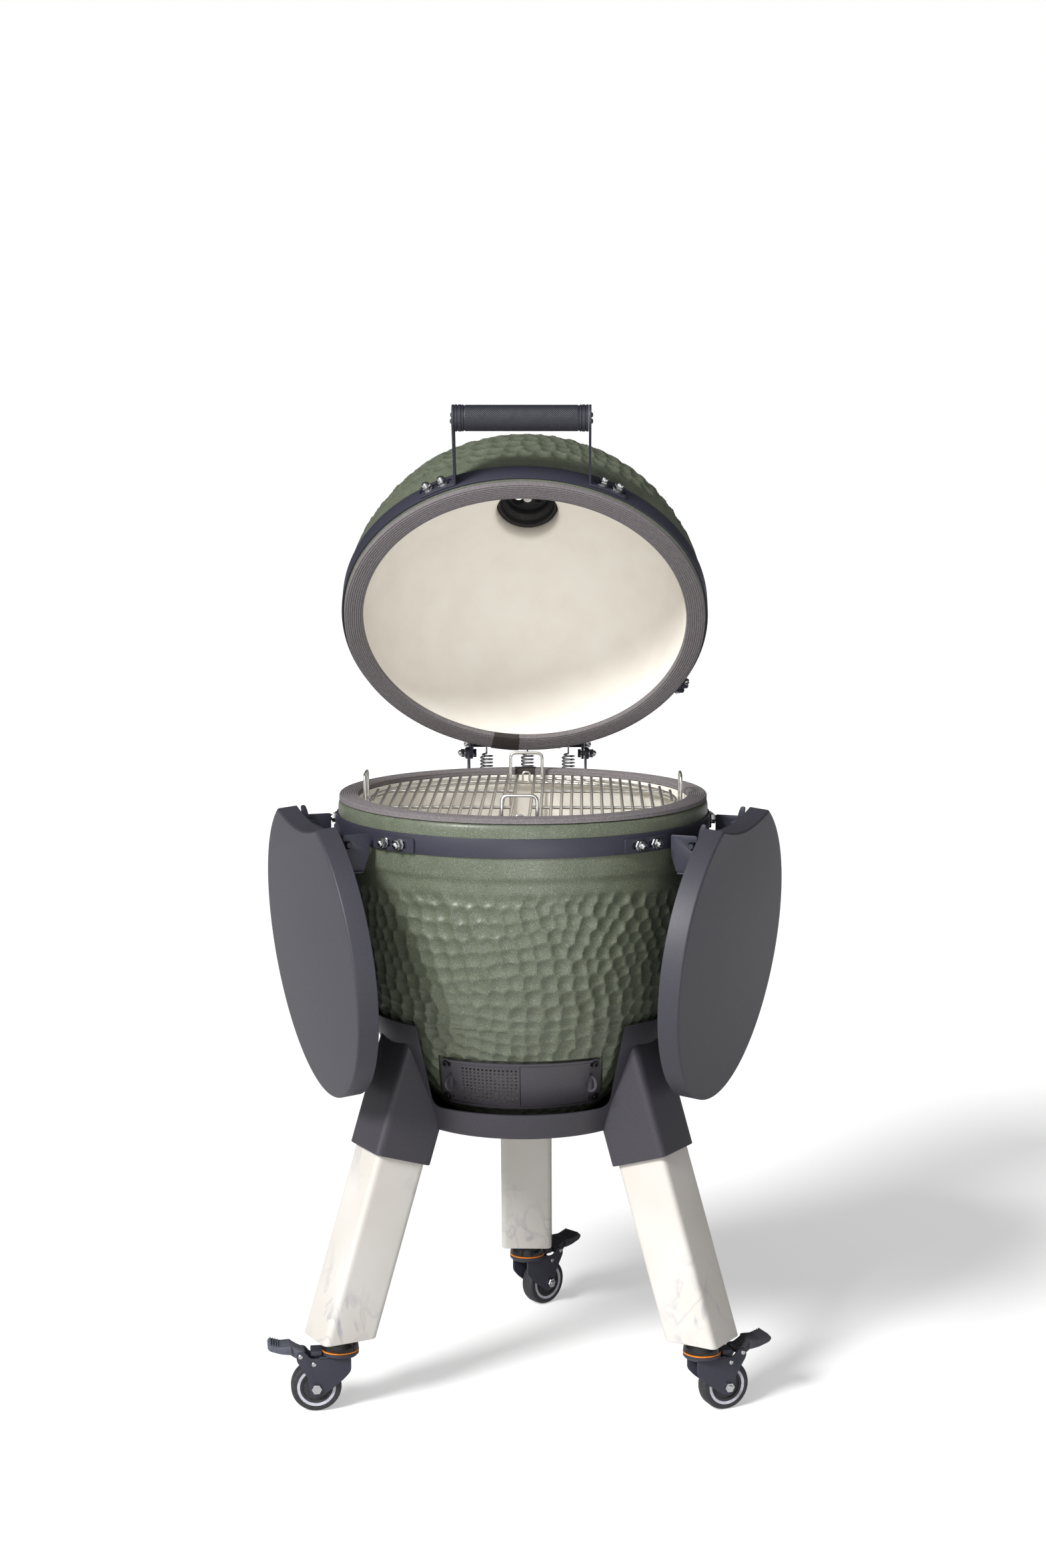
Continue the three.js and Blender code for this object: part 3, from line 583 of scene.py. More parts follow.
GLAZE = glaze()
CREAM = two_tone("cream_ceramic", (236, 230, 218), 0.75, (246, 241, 231), (250, 246, 238),
                 (45, 3), (2.2, 3), 0.06).material
FELT = two_tone("grey_felt", (96, 89, 87), 0.95, (89, 84, 86), (145, 139, 141),
                (1.1, 4), (1.1, 4), 0.35).material
PATCH = two_tone("dark_felt_patch", (60, 54, 52), 0.95, (48, 43, 41), (74, 68, 65),
                 (0.8, 3), (0.8, 3), 0.2).material
BAND_BLACK = powder_coat("band_powder_coat", (53, 53, 66), 0.46)
ANTHRACITE = powder_coat("anthracite_powder_coat", (63, 62, 71), 0.5)
STAND_COAT = powder_coat("stand_powder_coat", (64, 62, 69), 0.44)
VENT_COAT = powder_coat("vent_powder_coat", (80, 77, 83), 0.44)
GLOSS_BLACK = plastic("gloss_black_enamel", (30, 29, 31), 0.16)
STAINLESS = steel("polished_wire", (226, 225, 222), 0.3)
CHROME = steel("chrome_fastener", (214, 214, 216), 0.1)
IRON = two_tone("black_cast_iron", (44, 43, 45), 0.62, (34, 33, 35), (58, 57, 59),
                (1.6, 4), (1.6, 4), 0.15, 0.25).material
MARBLE = marble()
RUBBER = two_tone("black_rubber", (50, 48, 52), 0.6, (42, 41, 44), (58, 57, 61),
                  (4, 3), (0.7, 2), 0.03).material
GRIP_BLACK = plastic("grip_polymer", (42, 42, 52), 0.5)
ORANGE = plastic("orange_seal", (226, 132, 38), 0.45)
RING_SILVER = plastic("silver_ring", (196, 196, 206), 0.35)
PEDAL_GREY = plastic("grey_pedal", (92, 95, 106), 0.45)
PEDAL_DARK = plastic("dark_pedal", (58, 58, 64), 0.45)


# ---- Fasteners --------------------------------------------------------------------------------
def hexagon(across):
    return circle(across / 2 / cos(radians(30)), 6)


def acorn(across=13.0):
    """A domed cap nut on its washer, standing on z = 0."""
    height = across * 0.5
    nut = plate(hexagon(across), 1.2, 1.2 + height, 0.7)
    dome = lathe([(across * 0.40, 1.0 + height - 0.4), (across * 0.40, 2.2 + height),
                  (across * 0.34, 4.0 + height), (across * 0.20, 5.3 + height),
                  (across * 0.07, 5.8 + height)], 24)
    washer = lathe([(across * 0.60, 0), (across * 0.62, 0.3), (across * 0.62, 1.0),
                    (across * 0.60, 1.2)], 28)
    return join(nut, dome, washer)


def outward(angle, radius, z):
    """A point on a cylinder round the bowl, and its outward direction."""
    a = radians(angle)
    return (radius * cos(a), radius * sin(a), z), (cos(a), sin(a), 0)


def nuts_on_foot(angles, z):
    at = [outward(angle, FOOT_INNER + FOOT_THICK - 0.3, z) for angle in angles]
    return join(*[aimed(acorn(), *spot) for spot in at])


def slotted_foot(span, rise, angles):
    """A bracket's foot with an oblong hole under each nut."""
    foot = pad(span, rise)
    middle = (rise[0] + rise[1]) / 2
    drill = lathe([(4.9, -4), (4.9, 12)], 20)
    slot = box([-4.9, 4.9], [-9.4, 9.4], [-4, 12]).turned(90, "Y")
    for angle in angles:
        at, away = outward(angle, FOOT_INNER - 2, middle)
        for end in (angle - 2, angle + 2):
            foot = combine(foot, aimed(drill, outward(end, FOOT_INNER - 2, middle)[0], away))
        foot = combine(foot, slot.turned(angle).shifted(*at))
    return foot


# ---- Glazed ceramic ---------------------------------------------------------------------------
def dimple_seeds(path, first, last, seed):
    """Middles of dimples on a surface turned from path, in rows that shift by half a pitch."""
    draw = random.Random(seed)
    path = np.array(path, float)
    along = np.r_[0, np.cumsum(np.linalg.norm(np.diff(path, axis=0), axis=1))]
    seeds = []
    for row in range(int(along[-1] / DIMPLE_ROW) + 1):
        spot = row * DIMPLE_ROW
        r, z = np.interp(spot, along, path[:, 0]), np.interp(spot, along, path[:, 1])
        if not first <= z <= last or r < DIMPLE_PITCH:
            continue
        count = round(2 * pi * r / DIMPLE_PITCH)
        for i in range(count):
            angle = 2 * pi * (i + 0.5 * (row % 2) + draw.uniform(-0.16, 0.16)) / count
            rise = z + draw.uniform(-0.14, 0.14) * DIMPLE_PITCH
            rise += 8 * sin(3 * angle + z / 60) + 5 * sin(7 * angle - z / 35)
            angle += 0.02 * sin(5 * angle + z / 45)
            seeds.append((r * cos(angle), r * sin(angle), rise))
    return seeds


def dimpled(shape, rows, profile_size, seeds, strength):
    """Presses a paraboloid hollow round each seed into the first rows of a turned shape."""
    tree = kdtree.KDTree(len(seeds))
    for i, seed in enumerate(seeds):
        tree.insert(seed, i)
    tree.balance()
    points = shape.points.copy()
    grid = points.reshape(COLUMNS, profile_size, 3)
    steps = np.zeros((rows, 2))
    section = np.stack([np.hypot(grid[0, :, 0], grid[0, :, 1]), grid[0, :, 2]], -1)
    steps[1:-1] = section[2:rows] - section[:rows - 2]
    steps[0], steps[-1] = steps[1], steps[-2]
    steps /= np.linalg.norm(steps, axis=1, keepdims=True)
    for row in range(rows):
        fade = strength(section[row, 1])
        if fade <= 0:
            continue
        out_r, out_z = steps[row][1], -steps[row][0]
        for column in range(COLUMNS):
            x, y, z = grid[column, row]
            near = tree.find_n((x, y, z), 2)
            first, second = near[0][2], near[1][2]
            hollow = max(0.0, 1 - (first / DIMPLE_REACH) ** 2)
            ridge = min(1.0, (second - first) / 2.5)
            press = DIMPLE_DEPTH * fade * hollow * (0.86 + 0.14 * ridge)
            r = hypot(x, y)
            grid[column, row] = (x - press * out_r * x / r, y - press * out_r * y / r,
                                 z - press * out_z)
    return Shape(points, shape.faces, shape.paint)


def turned_shell(outer, inner):
    """A closed shell: glaze on its outer profile, bare ceramic on its inner one."""
    shape = revolve([*outer, *inner], COLUMNS)
    size = len(outer) + len(inner)
    shape.paint = [0 if (i % size) < len(outer) - 1 else 1 for i in range(len(shape.faces))]
    return shape


def bowl_radius(z):
    return BOWL_R * sqrt(1 - ((SHOULDER_Z - z) / BOWL_DEPTH) ** 2)


def cavity_radius(z):
    return CAVITY_R * sqrt(1 - ((SHOULDER_Z - z) / CAVITY_DEPTH) ** 2)


def vent_radius(z, out=0.0):
    return VENT_R + out + (z - VENT_Z[0]) * VENT_SLOPE


def on_vent(x, z, out):
    """A point on the draft vent's cone."""
    return (x, -sqrt(vent_radius(z, out) ** 2 - x * x), z)


def smooth_step(value, low, high):
    t = min(1.0, max(0.0, (value - low) / (high - low)))
    return t * t * (3 - 2 * t)


def bowl():
    curve = [(bowl_radius(z), z) for z in np.arange(412, SHOULDER_Z - 4, GRID)]
    outer = [(0, BOWL_BASE), (bowl_radius(BOWL_BASE) - 5, BOWL_BASE),
             (bowl_radius(BOWL_BASE) - 0.5, BOWL_BASE + 2), *curve,
             (BOWL_R - 0.3, SHOULDER_Z - 1.5), (BOWL_R + 0.3, SHOULDER_Z + 3),
             (COLLAR_R - 1.6, SHOULDER_Z + 6.5), (COLLAR_R - 0.3, SHOULDER_Z + 9),
             (COLLAR_R, SHOULDER_Z + 12), (COLLAR_R, BOWL_TOP - 9),
             (COLLAR_R - 0.5, BOWL_TOP - 5), (COLLAR_R - 1.5, BOWL_TOP - 2),
             (COLLAR_R - 3.2, BOWL_TOP), (FELT_INNER, BOWL_TOP)]
    inner = [(CAVITY_R, 800), *[(cavity_radius(z), z) for z in np.arange(780, 450, -22)], (0, 434)]
    shape = turned_shell(outer, inner)
    seeds = dimple_seeds(curve[::-1], 400, DIMPLE_TOP - 8, 5)
    shape = dimpled(shape, len(curve) + 3, len(outer) + len(inner), seeds,
                    lambda z: smooth_step(z, 407, 418) * (1 - smooth_step(z, 752, DIMPLE_TOP))
                    * (1 - 0.6 * exp(-((z - MOULD_LINE) / 1.5) ** 2)))
    wide = np.linspace(-VENT_HALF - 3, VENT_HALF + 3, 25)
    pocket = loft([[on_vent(x, VENT_Z[0] - 4, -0.5), on_vent(x, VENT_Z[1] + 4, -0.5),
                    (x, -300, VENT_Z[1] + 4), (x, -300, VENT_Z[0] - 4)] for x in wide])
    tunnel = box([-102, 102], [-300, -40], [448, 500]).painted(1)
    shape = cut(shape, pocket, tunnel)
    put("bowl_shell_glazed", shape, [GLAZE, CREAM], "base", ["bowl_shell"], 50)


def dome():
    top = acos(CHIMNEY_R / DOME_R)
    start = asin((915 - DOME_Z) / DOME_HEIGHT)
    turns = np.linspace(start, top, 160)
    curve = [(DOME_R * cos(t), DOME_Z + DOME_HEIGHT * sin(t)) for t in turns]
    crown = curve.pop()
    outer = [(FELT_INNER, LID_BOTTOM), (COLLAR_R - 3.2, LID_BOTTOM),
             (COLLAR_R - 1.2, LID_BOTTOM + 0.8),
             (COLLAR_R, LID_BOTTOM + 3), (COLLAR_R, 909), (COLLAR_R - 0.6, 912), *curve,
             (crown[0] + 1, crown[1] - 0.2)]
    wall_r, wall_h = DOME_R - DOME_WALL, DOME_HEIGHT - DOME_WALL
    inner_top = acos((CHIMNEY_R + 7) / wall_r)
    inner = [(CHIMNEY_R, crown[1] - 2), (CHIMNEY_R, 1124), (CHIMNEY_R + 2, 1119),
             *[(wall_r * cos(t), DOME_Z + wall_h * sin(t))
               for t in np.linspace(inner_top, 0, 24)]]
    shape = turned_shell(outer, inner)
    seeds = dimple_seeds(curve, LID_DIMPLES + 6, 1200, 9)
    shape = dimpled(shape, len(outer), len(outer) + len(inner), seeds,
                    lambda z: smooth_step(z, LID_DIMPLES, LID_DIMPLES + 14)
                    * (1 - smooth_step(z, 1136, 1143)))
    put("lid_shell_glazed", shape, [GLAZE, CREAM], "lid", ["lid_shell"], 50)


# ---- Gaskets and bands ------------------------------------------------------------------------
def ribbed_felt(low, high, top):
    """A felt ring with ribs round the face that shows, and ribbed sides."""
    ribs, fine = 9, 8
    face, back = (high, low) if top else (low, high)
    sign = 1 if top else -1
    wide = FELT_OUTER - FELT_INNER
    section = []
    for i in range(ribs * fine + 1):
        share = i / (ribs * fine)
        groove = 1.3 * (1 - abs(sin(pi * ribs * share)) ** 0.6)
        crown = 1.6 * abs(2 * share - 1) ** 5
        section.append((FELT_INNER + wide * share, face - sign * (groove + crown)))
    for share in (0.4, 0.5, 0.6, 0.9):
        dip = 0.5 if share == 0.5 else 0.0
        section.append((FELT_OUTER - dip, face + (back - face) * share))
    for share in (0.95, 0.6, 0.5, 0.4):
        dip = 0.5 if share == 0.5 else 0.0
        section.append((FELT_INNER + dip, face + (back - face) * share))
    return revolve(section, 192)


def felt_joint(low, high, top, middle, half):
    face, back = (high + 0.2, low + 0.1) if top else (low - 0.2, high - 0.1)
    sign = 1 if top else -1
    loop = [(FELT_INNER - 0.6, back), (FELT_INNER - 0.6, face - sign * 1.4),
            (FELT_INNER + 1.2, face), (FELT_OUTER - 1.2, face),
            (FELT_OUTER + 0.5, face - sign * 1.6), (FELT_OUTER + 0.5, back)]
    return revolve(soften(loop, 1.0, 2), 16, middle - half, 2 * half)


def gaskets():
    put("bowl_gasket_felt", ribbed_felt(*BOWL_FELT, True), FELT, "base",
        ["bowl_gasket"], 60)
    put("lid_gasket_felt", ribbed_felt(*LID_FELT, False), FELT, "lid",
        ["lid_gasket"], 60)
    put("bowl_gasket_joint", felt_joint(*BOWL_FELT, True, 90.5, 3.6), PATCH, "base")
    put("lid_gasket_joint", felt_joint(*LID_FELT, False, 97.4, 4.6), PATCH, "lid")


def clamp_band(rise, clamp):
    """A band with a gap at its clamp, and the ears that the bolt draws together."""
    low, high = rise
    loop = soften([(BAND_INNER, low), (BAND_OUTER, low), (BAND_OUTER, high), (BAND_INNER, high)],
                  0.5, 2)
    gap = degrees(4 / BAND_OUTER)
    hoop = revolve(loop, ROUND, clamp + gap, 360 - 2 * gap)
    middle = (low + high) / 2
    ears = []
    for side in (-1, 1):
        outline = soften([(BAND_INNER + 0.6, middle - 10), (276, middle - 10), (284, middle - 6),
                          (284, middle + 6), (276, middle + 10),
                          (BAND_INNER + 0.6, middle + 10)], 3)
        near, far = sorted((side * 4, side * 7))
        ear = plate(outline, near, far, 0.5).turned(90, "X")
        ears.append(ear.turned(clamp))
    return join(hoop, *ears)


def clamp_bolt(rise, clamp):
    middle = (rise[0] + rise[1]) / 2
    turn = spin(clamp) @ Matrix.Translation((277, 0, middle))
    flat = spin(-90, "X")
    shank = lathe([(3, -15), (3, 16), (2.4, 17)], 20)
    head = plate(hexagon(10.5), -11.5, -7.3, 0.5)
    nut = join(plate(hexagon(10.5), 7.3, 12, 0.5), lathe([(5.6, 7.0), (5.6, 7.4)], 24))
    return join(shank, head, nut).moved(turn @ flat)


def bands():
    for part, body, rise, clamp in (("bowl", "base", BOWL_BAND, BOWL_CLAMP),
                                    ("lid", "lid", LID_BAND, LID_CLAMP)):
        put(f"{part}_band_steel", clamp_band(rise, clamp), BAND_BLACK, body,
            [f"{part}_band"])
        put(f"{part}_clamp_bolt", clamp_bolt(rise, clamp), CHROME, body,
            [f"{part}_band_bolt"])


# ---- Hinge ------------------------------------------------------------------------------------
def rod(radius, low, high, y, z, sides=28):
    """A rod along X with eased ends."""
    ease = min(0.6, radius * 0.2)
    return aimed(lathe([(radius - ease, low), (radius, low + ease), (radius, high - ease),
                        (radius - ease, high)], sides), (0, y, z), (1, 0, 0))


def closed_bar():
    y, z = SPRING_Y - HINGE_Y, SPRING_Z[1] - HINGE_Z
    c, s = cos(radians(LID_OPEN)), sin(radians(LID_OPEN))
    return HINGE_Y + y * c - z * s, HINGE_Z + y * s + z * c


def hinge():
    base = soften([(262, 819), (262, 842), (276, 872), (278, 896), (284, 900), (292, 898),
                   (297, 886), (303, 850), (319, 808), (319, 792), (300, 790), (286, 802)], 5)
    shapes = [slotted_foot((70.2, 109.8), (818.5, 842.5), (80, 100))]
    for side in (-1, 1):
        shapes.append(sideways(base, *sorted((side * 88, side * 92)), 0.7))
        shapes.append(aimed(lathe([(9, 0), (9, 2), (8, 3)], 32), (side * 92, HINGE_Y, HINGE_Z),
                            (side, 0, 0)))
    shapes.append(rod(4, -90, 90, SPRING_Y, SPRING_Z[0]))
    put("hinge_base_steel", join(*shapes), BAND_BLACK, "base", ["hinge_base"])

    outline = [(-34, -6), (-34, 18), (-14, 20), (2, 33), (10, 33), (15, 27), (10, 4), (7, -7),
               (-2, -9)]
    lid_plate = soften([(HINGE_Y + y, HINGE_Z + z) for y, z in outline], 4)
    shapes = [slotted_foot((71.4, 108.6), (884.5, 907.5), (80, 100))]
    for side in (-1, 1):
        shapes.append(sideways(lid_plate, *sorted((side * 83.5, side * 87.5)), 0.7))
    y, z = closed_bar()
    shapes.append(rod(4, -88, 88, y, z))
    put("hinge_lid_steel", join(*shapes), BAND_BLACK, "lid", ["hinge_lid"])

    for name, side in SIDES:
        pivot = join(rod(3.9, *sorted((side * 79, side * 97)), HINGE_Y, HINGE_Z),
                     aimed(acorn(12), (side * 95, HINGE_Y, HINGE_Z), (side, 0, 0)),
                     aimed(plate(hexagon(12), 0, 5, 0.6), (side * 83, HINGE_Y, HINGE_Z),
                           (-side, 0, 0)))
        put(f"hinge_pivot_{name}", pivot, CHROME, "base", [f"hinge_bolt_{name}"])
    nuts = []
    for side in (-1, 1):
        nuts.append(aimed(acorn(11), (side * 87.6, y, z), (side, 0, 0)))
        nuts.append(aimed(acorn(11), (side * 87.6, HINGE_Y - 22, HINGE_Z + 6), (side, 0, 0)))
    nuts.append(nuts_on_foot((80, 100), 896))
    put("hinge_lid_nuts", join(*nuts), CHROME, "lid")
    put("hinge_base_nuts", nuts_on_foot((80, 100), 830.5), CHROME, "base")


def spring_hook(x, z, start, way):
    """Two thirds of a turn round a bar: way is -1 below it, for the lower hook."""
    turn = np.radians(np.linspace(start, start + 240, 9))
    return [(x, SPRING_Y + 5.6 * way * sin(a), z + 5.6 * way * cos(a)) for a in turn]


def springs():
    """Extension springs whose hooks go round the two bars."""
    wire, coil_r, low, high, turns = 1.5, 9.0, 813, 886, 14
    steps = turns * 28
    for name, x in SPRING_X.items():
        path = [*spring_hook(x, SPRING_Z[0], -80, -1), (x, SPRING_Y, low - 4)]
        for i in range(steps + 1):
            a = 2 * pi * turns * i / steps
            r = coil_r * min(1.0, (i + 3) / 16, (steps - i + 3) / 16)
            path.append((x + r * sin(a), SPRING_Y + r * cos(a),
                         low + (high - low) * i / steps))
        path += [(x, SPRING_Y, high + 4), *spring_hook(x, SPRING_Z[1], -160, 1)]
        piece = put(f"spring_coil_{name}", tube(path, wire, 10), CHROME, None,
                    [f"spring_{name}"], 60)
        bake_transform(piece)


# ---- Inside -----------------------------------------------------------------------------------
def grates():
    for name, side in SIDES:
        wires = []
        for i in range(BARS):
            x = side * (13 + i * BAR_PITCH)
            reach = sqrt((GRATE_R + 1) ** 2 - x * x)
            wires.append(tube([(x, -reach, BAR_Z), (x, -reach + 1, BAR_Z), (x, reach - 1, BAR_Z),
                               (x, reach, BAR_Z)], WIRE, 12))
        edge = degrees(acos(12.3 / GRATE_R))
        turn = np.linspace(-edge, edge, 64)
        rim = [(side * GRATE_R * cos(radians(a)), GRATE_R * sin(radians(a)),
                GRATE_Z + 0.4) for a in turn]
        wires.append(tube(rim, WIRE, 12))
        end = sqrt(GRATE_R ** 2 - 80 ** 2)
        for y in (-80, 80):
            wires.append(tube([(side * 11, y, GRATE_Z + 0.4), (side * end, y, GRATE_Z + 0.4)],
                              WIRE))
        put(f"grate_wires_{name}", join(*wires), STAINLESS, f"grate_{name}",
            [f"grate_{name}"], 60)


def rack():
    wires = []
    for z in RACK_HOOPS:
        turn = np.radians(np.arange(120) * 3)
        wires.append(tube(np.c_[RACK_R * np.cos(turn), RACK_R * np.sin(turn), np.full(120, z)],
                          WIRE, 12, closed=True))
    for turn in (0, 90, 180, 270):
        path = soften([(-24, 226, RACK_HOOPS[0]), (-24, 226, HANDLE_TOP), (24, 226, HANDLE_TOP),
                       (24, 226, RACK_HOOPS[0])], 9, 6, closed=False)
        wires.append(tube(path, WIRE, 12).turned(turn))
    for turn in (0, 180):  # the clip that keeps the two grates apart
        z = RACK_HOOPS[1] + 2
        path = soften([(-15, 219, z), (-4.5, 219, z), (-5.5, 219, z + 15), (5.5, 219, z + 15),
                       (4.5, 219, z), (15, 219, z)], 5, 6, closed=False)
        wires.append(tube(path, 1.7, 12).turned(turn))
    put("rack_wires", join(*wires), STAINLESS, "base", ["rack_frame"], 60)


def fire_parts():
    box_loop = soften([(134, 496.5), (200, 690), (182, 690), (139, 520), (118, 520),
                       (118, 496.5)], 4)
    put("fire_box_ceramic", revolve(box_loop, 96), CREAM, "base", ["fire_box"])
    ring_loop = soften([(186, 690.3), (206, 690.3), (222, 770), (201, 770)], 4)
    put("fire_ring_ceramic", revolve(ring_loop, 96), CREAM, "base", ["fire_ring"])


# ---- Lid fittings -----------------------------------------------------------------------------
def knurled_grip():
    """A grip with a diamond knurl cut into it, along X."""
    half = GRIP_HALF - 12.5
    columns, rows = 168, 232
    pitch = 3.4
    sections = []
    around = 2 * pi * GRIP_R
    starts = round(around / pitch)
    for i in range(rows + 1):
        x = -half + 2 * half * i / rows
        fade = smooth_step(half - abs(x), 1.0, 3.0)
        loop = []
        for k in range(columns):
            a = 2 * pi * k / columns
            u = starts * a / (2 * pi)
            v = x / pitch
            ridge = abs(sin(pi * (u + v))) * abs(sin(pi * (u - v)))
            r = GRIP_R - 0.75 + 0.75 * fade * min(1, ridge * 1.5) - 0.3 * (1 - fade)
            loop.append((x, r * cos(a), r * sin(a)))
        sections.append(loop)
    return loft(sections)


def handle():
    at = (0, GRIP_Y, GRIP_Z)
    grip = knurled_grip().shifted(*at)
    for side in (-1, 1):
        collar = lathe([(17.2, GRIP_HALF - 13), (18.4, GRIP_HALF - 12.4), (18.4, GRIP_HALF - 10.2),
                        (17.4, GRIP_HALF - 9.7)], 64)
        grip = join(grip, aimed(collar, at, (side, 0, 0)))
    put("handle_grip_knurled", grip, GRIP_BLACK, "lid", ["handle_grip"], 40)
    for name, side, span, angles in (("left", -1, (237.5, 249.8), (240.6, 245.6)),
                                     ("right", 1, (290.2, 302.5), (294.4, 299.4))):
        cap = lathe([(17.6, GRIP_HALF - 9.7), (18.6, GRIP_HALF - 9.2), (18.6, GRIP_HALF - 5.2),
                     (17.7, GRIP_HALF - 4.8), (17.7, GRIP_HALF - 3.8), (18.6, GRIP_HALF - 3.4),
                     (18.6, GRIP_HALF - 0.8), (17.8, GRIP_HALF)], 64)
        put(f"handle_end_{name}", aimed(cap, at, (side, 0, 0)), GRIP_BLACK, "lid",
            [f"handle_cap_{name}"])
        arc = [p for p in circle(18.6, 40, (GRIP_Y, GRIP_Z), 30.0) if p[0] < GRIP_Y + 8]
        above = sorted([p for p in arc if p[1] > GRIP_Z], key=lambda p: -p[0])
        below = sorted([p for p in arc if p[1] <= GRIP_Z], key=lambda p: p[0])
        outline = [(-252, 886), (-252, 906.5), *above, *below]
        strap = sideways(outline, *sorted((side * 93, side * 96.5)), 0.7)
        foot = slotted_foot(span, (885, 907.5), angles)
        put(f"handle_strap_{name}", join(strap, foot), BAND_BLACK, "lid",
            [f"handle_bracket_{name}"])
        screws = [aimed(lathe([(3.6, 0), (3.6, 0.8), (2.8, 2.0), (1.2, 2.6)], 24),
                        (side * 96.3, GRIP_Y, GRIP_Z + dz), (side, 0, 0)) for dz in (-7, 7)]
        put(f"handle_screws_{name}", join(*screws), BAND_BLACK, "lid")
        put(f"handle_nuts_{name}", nuts_on_foot(angles, 896.2), CHROME, "lid")


def top_vent():
    crown = DOME_Z + DOME_HEIGHT * sqrt(1 - (CHIMNEY_R / DOME_R) ** 2)
    loop = [(41, 1143), (46.4, 1143), (46.4, crown + 0.3), (60, crown + 0.3), (60, 1148),
            (57, 1151.5), (47, 1156), (38.5, 1163), (38.5, 1171), (34, 1171), (34, 1160),
            (41, 1153)]
    collar = revolve(soften(loop, 1.6, 2), 96)
    web = box([-36, 36], [-5, 5], [1165, 1170], 0.8)
    put("vent_collar_cast", join(collar, web), IRON, "lid", ["vent_collar"])
    disc = revolve(soften([(4.3, 1171.3), (36, 1171.3), (39, 1174), (39, 1179), (34, 1183),
                           (4.3, 1183)], 1.2, 2), 96)
    petal = soften([(12, 0), (22, -5), (30, 0), (29, 10), (18, 21), (10, 17)], 5, 5)
    for turn in (0, 120, 240):
        disc = combine(disc, plate(petal, 1160, 1190, 0.1).turned(turn))
    ribs = [revolve(soften([(r - 0.9, 1182), (r + 0.9, 1182), (r + 0.6, 1183.8), (r - 0.6, 1183.8)],
                           0.4, 2), 96, 36 + turn, 74) for r in (33, 14) for turn in (0, 120, 240)]
    put("vent_cap_cast", join(disc, *ribs), IRON, "vent_cap", ["vent_cap"])
    bolt = lathe([(6.5, 1156), (7, 1156.6), (7, 1161), (3.9, 1161), (3.9, 1183.5), (9, 1183.5),
                  (9, 1185), (6, 1185), (6, 1189), (5, 1190.6), (2.5, 1191.8)], 32)
    put("vent_bolt_chrome", bolt, CHROME, "lid", ["vent_bolt"])


# ---- Shelves ----------------------------------------------------------------------------------
def leaf():
    """The shelf's outline: a wide leaf with a hollow inner edge."""
    half, long, middle, edge, hollow = 230, 212, 159, -29, 14
    start = asin((edge - middle) / long)
    turn = np.linspace(start, pi - start, 97)
    points = [(half * cos(t), middle + long * sin(t)) for t in turn]
    corner = points[0][0]
    for x in np.linspace(-corner, corner, 21)[1:-1]:
        points.append((x, edge + hollow * (1 - (x / corner) ** 2)))
    return np.array(points)


def tray():
    outline = leaf()
    low, top, ease = SHELF_TOP - SHELF_DEEP, SHELF_TOP, 3.2
    loops = [(SHELF_WALL, top - SHELF_WALL), (SHELF_WALL, low + 0.6), (SHELF_WALL - 0.6, low),
             (0.6, low), (0, low + 0.6)]
    loops += [(ease * (1 - cos(t)), top - ease * (1 - sin(t)))
              for t in np.linspace(0, pi / 2, 6)]
    return loft([np.c_[inset(outline, d), np.full(len(outline), z)] for d, z in loops])


def shelves():
    for name, side in SIDES:
        at = (spin(side * (-90 - SHELF_TURN), "Z")
              @ Matrix.Translation((0, SHELF_R, SHELF_Z)))
        hung = at @ spin(-SHELF_DROP, "X")
        body = f"shelf_{name}"
        put(f"shelf_tray_{name}", tray().moved(hung), ANTHRACITE, body,
            [f"shelf_{name}"])
        top = SHELF_TOP - SHELF_WALL - 0.3
        hook = soften([(-6, -5), (6, -6), (34, 24), (60, top - 6), (60, top), (-11, top), (-11, 18),
                       (-19, 14.5), (-31, 14.5), (-31, 8), (-22, 5.5), (-10, 4)], 3)
        hanger = [sideways(hook, s - 1.5, s + 1.5, 0.5) for s in (-90, 90)]
        hanger.append(rod(4, -106, 106, 0, 0))
        put(f"shelf_hooks_{name}", join(*hanger).moved(hung), BAND_BLACK, body,
            [f"shelf_hanger_{name}"])
        for end in ("front", "rear"):
            where = side if end == "front" else -side
            arm = soften([(-30, 14.5), (6, 14.5), (8, 12), (8, 7), (6, 5.3), (-3, 5.3), (-5.5, 0),
                          (-3, -5.3), (5, -5.3), (5, -22), (-3, -37), (-22, -37), (-30, -12)], 2.6)
            plates = sideways(arm, where * 100 - 1.5, where * 100 + 1.5, 0.5)
            tab = box([where * 100 - 5, where * 100 + 5], [-20, -5], [-39.5, -37], 0.6)
            span = sorted((90 - where * 21.2, 90 - where * 37.5))
            angles = (90 - where * 26.2, 90 - where * 32.2)
            foot = slotted_foot(span, (818.2, 838.5), angles).shifted(0, -SHELF_R, -SHELF_Z)
            put(f"shelf_arm_{name}_{end}", join(plates, tab, foot).moved(at), BAND_BLACK, "base",
                [f"shelf_bracket_{name}_{end}"])
            nuts = nuts_on_foot(angles, 828.4).shifted(0, -SHELF_R, -SHELF_Z)
            put(f"shelf_nuts_{name}_{end}", nuts.moved(at), CHROME, "base")


# ---- Draft vent -------------------------------------------------------------------------------
def vent_sheet(x, z, out):
    """A thin plate bent round the vent's cone, with both its faces."""
    low, high = z
    sections = []
    for u in np.linspace(*x, 48):
        sections.append([on_vent(u, low, out[0]), on_vent(u, high, out[0]),
                         on_vent(u, high, out[1]), on_vent(u, low, out[1])])
    return loft(sections)


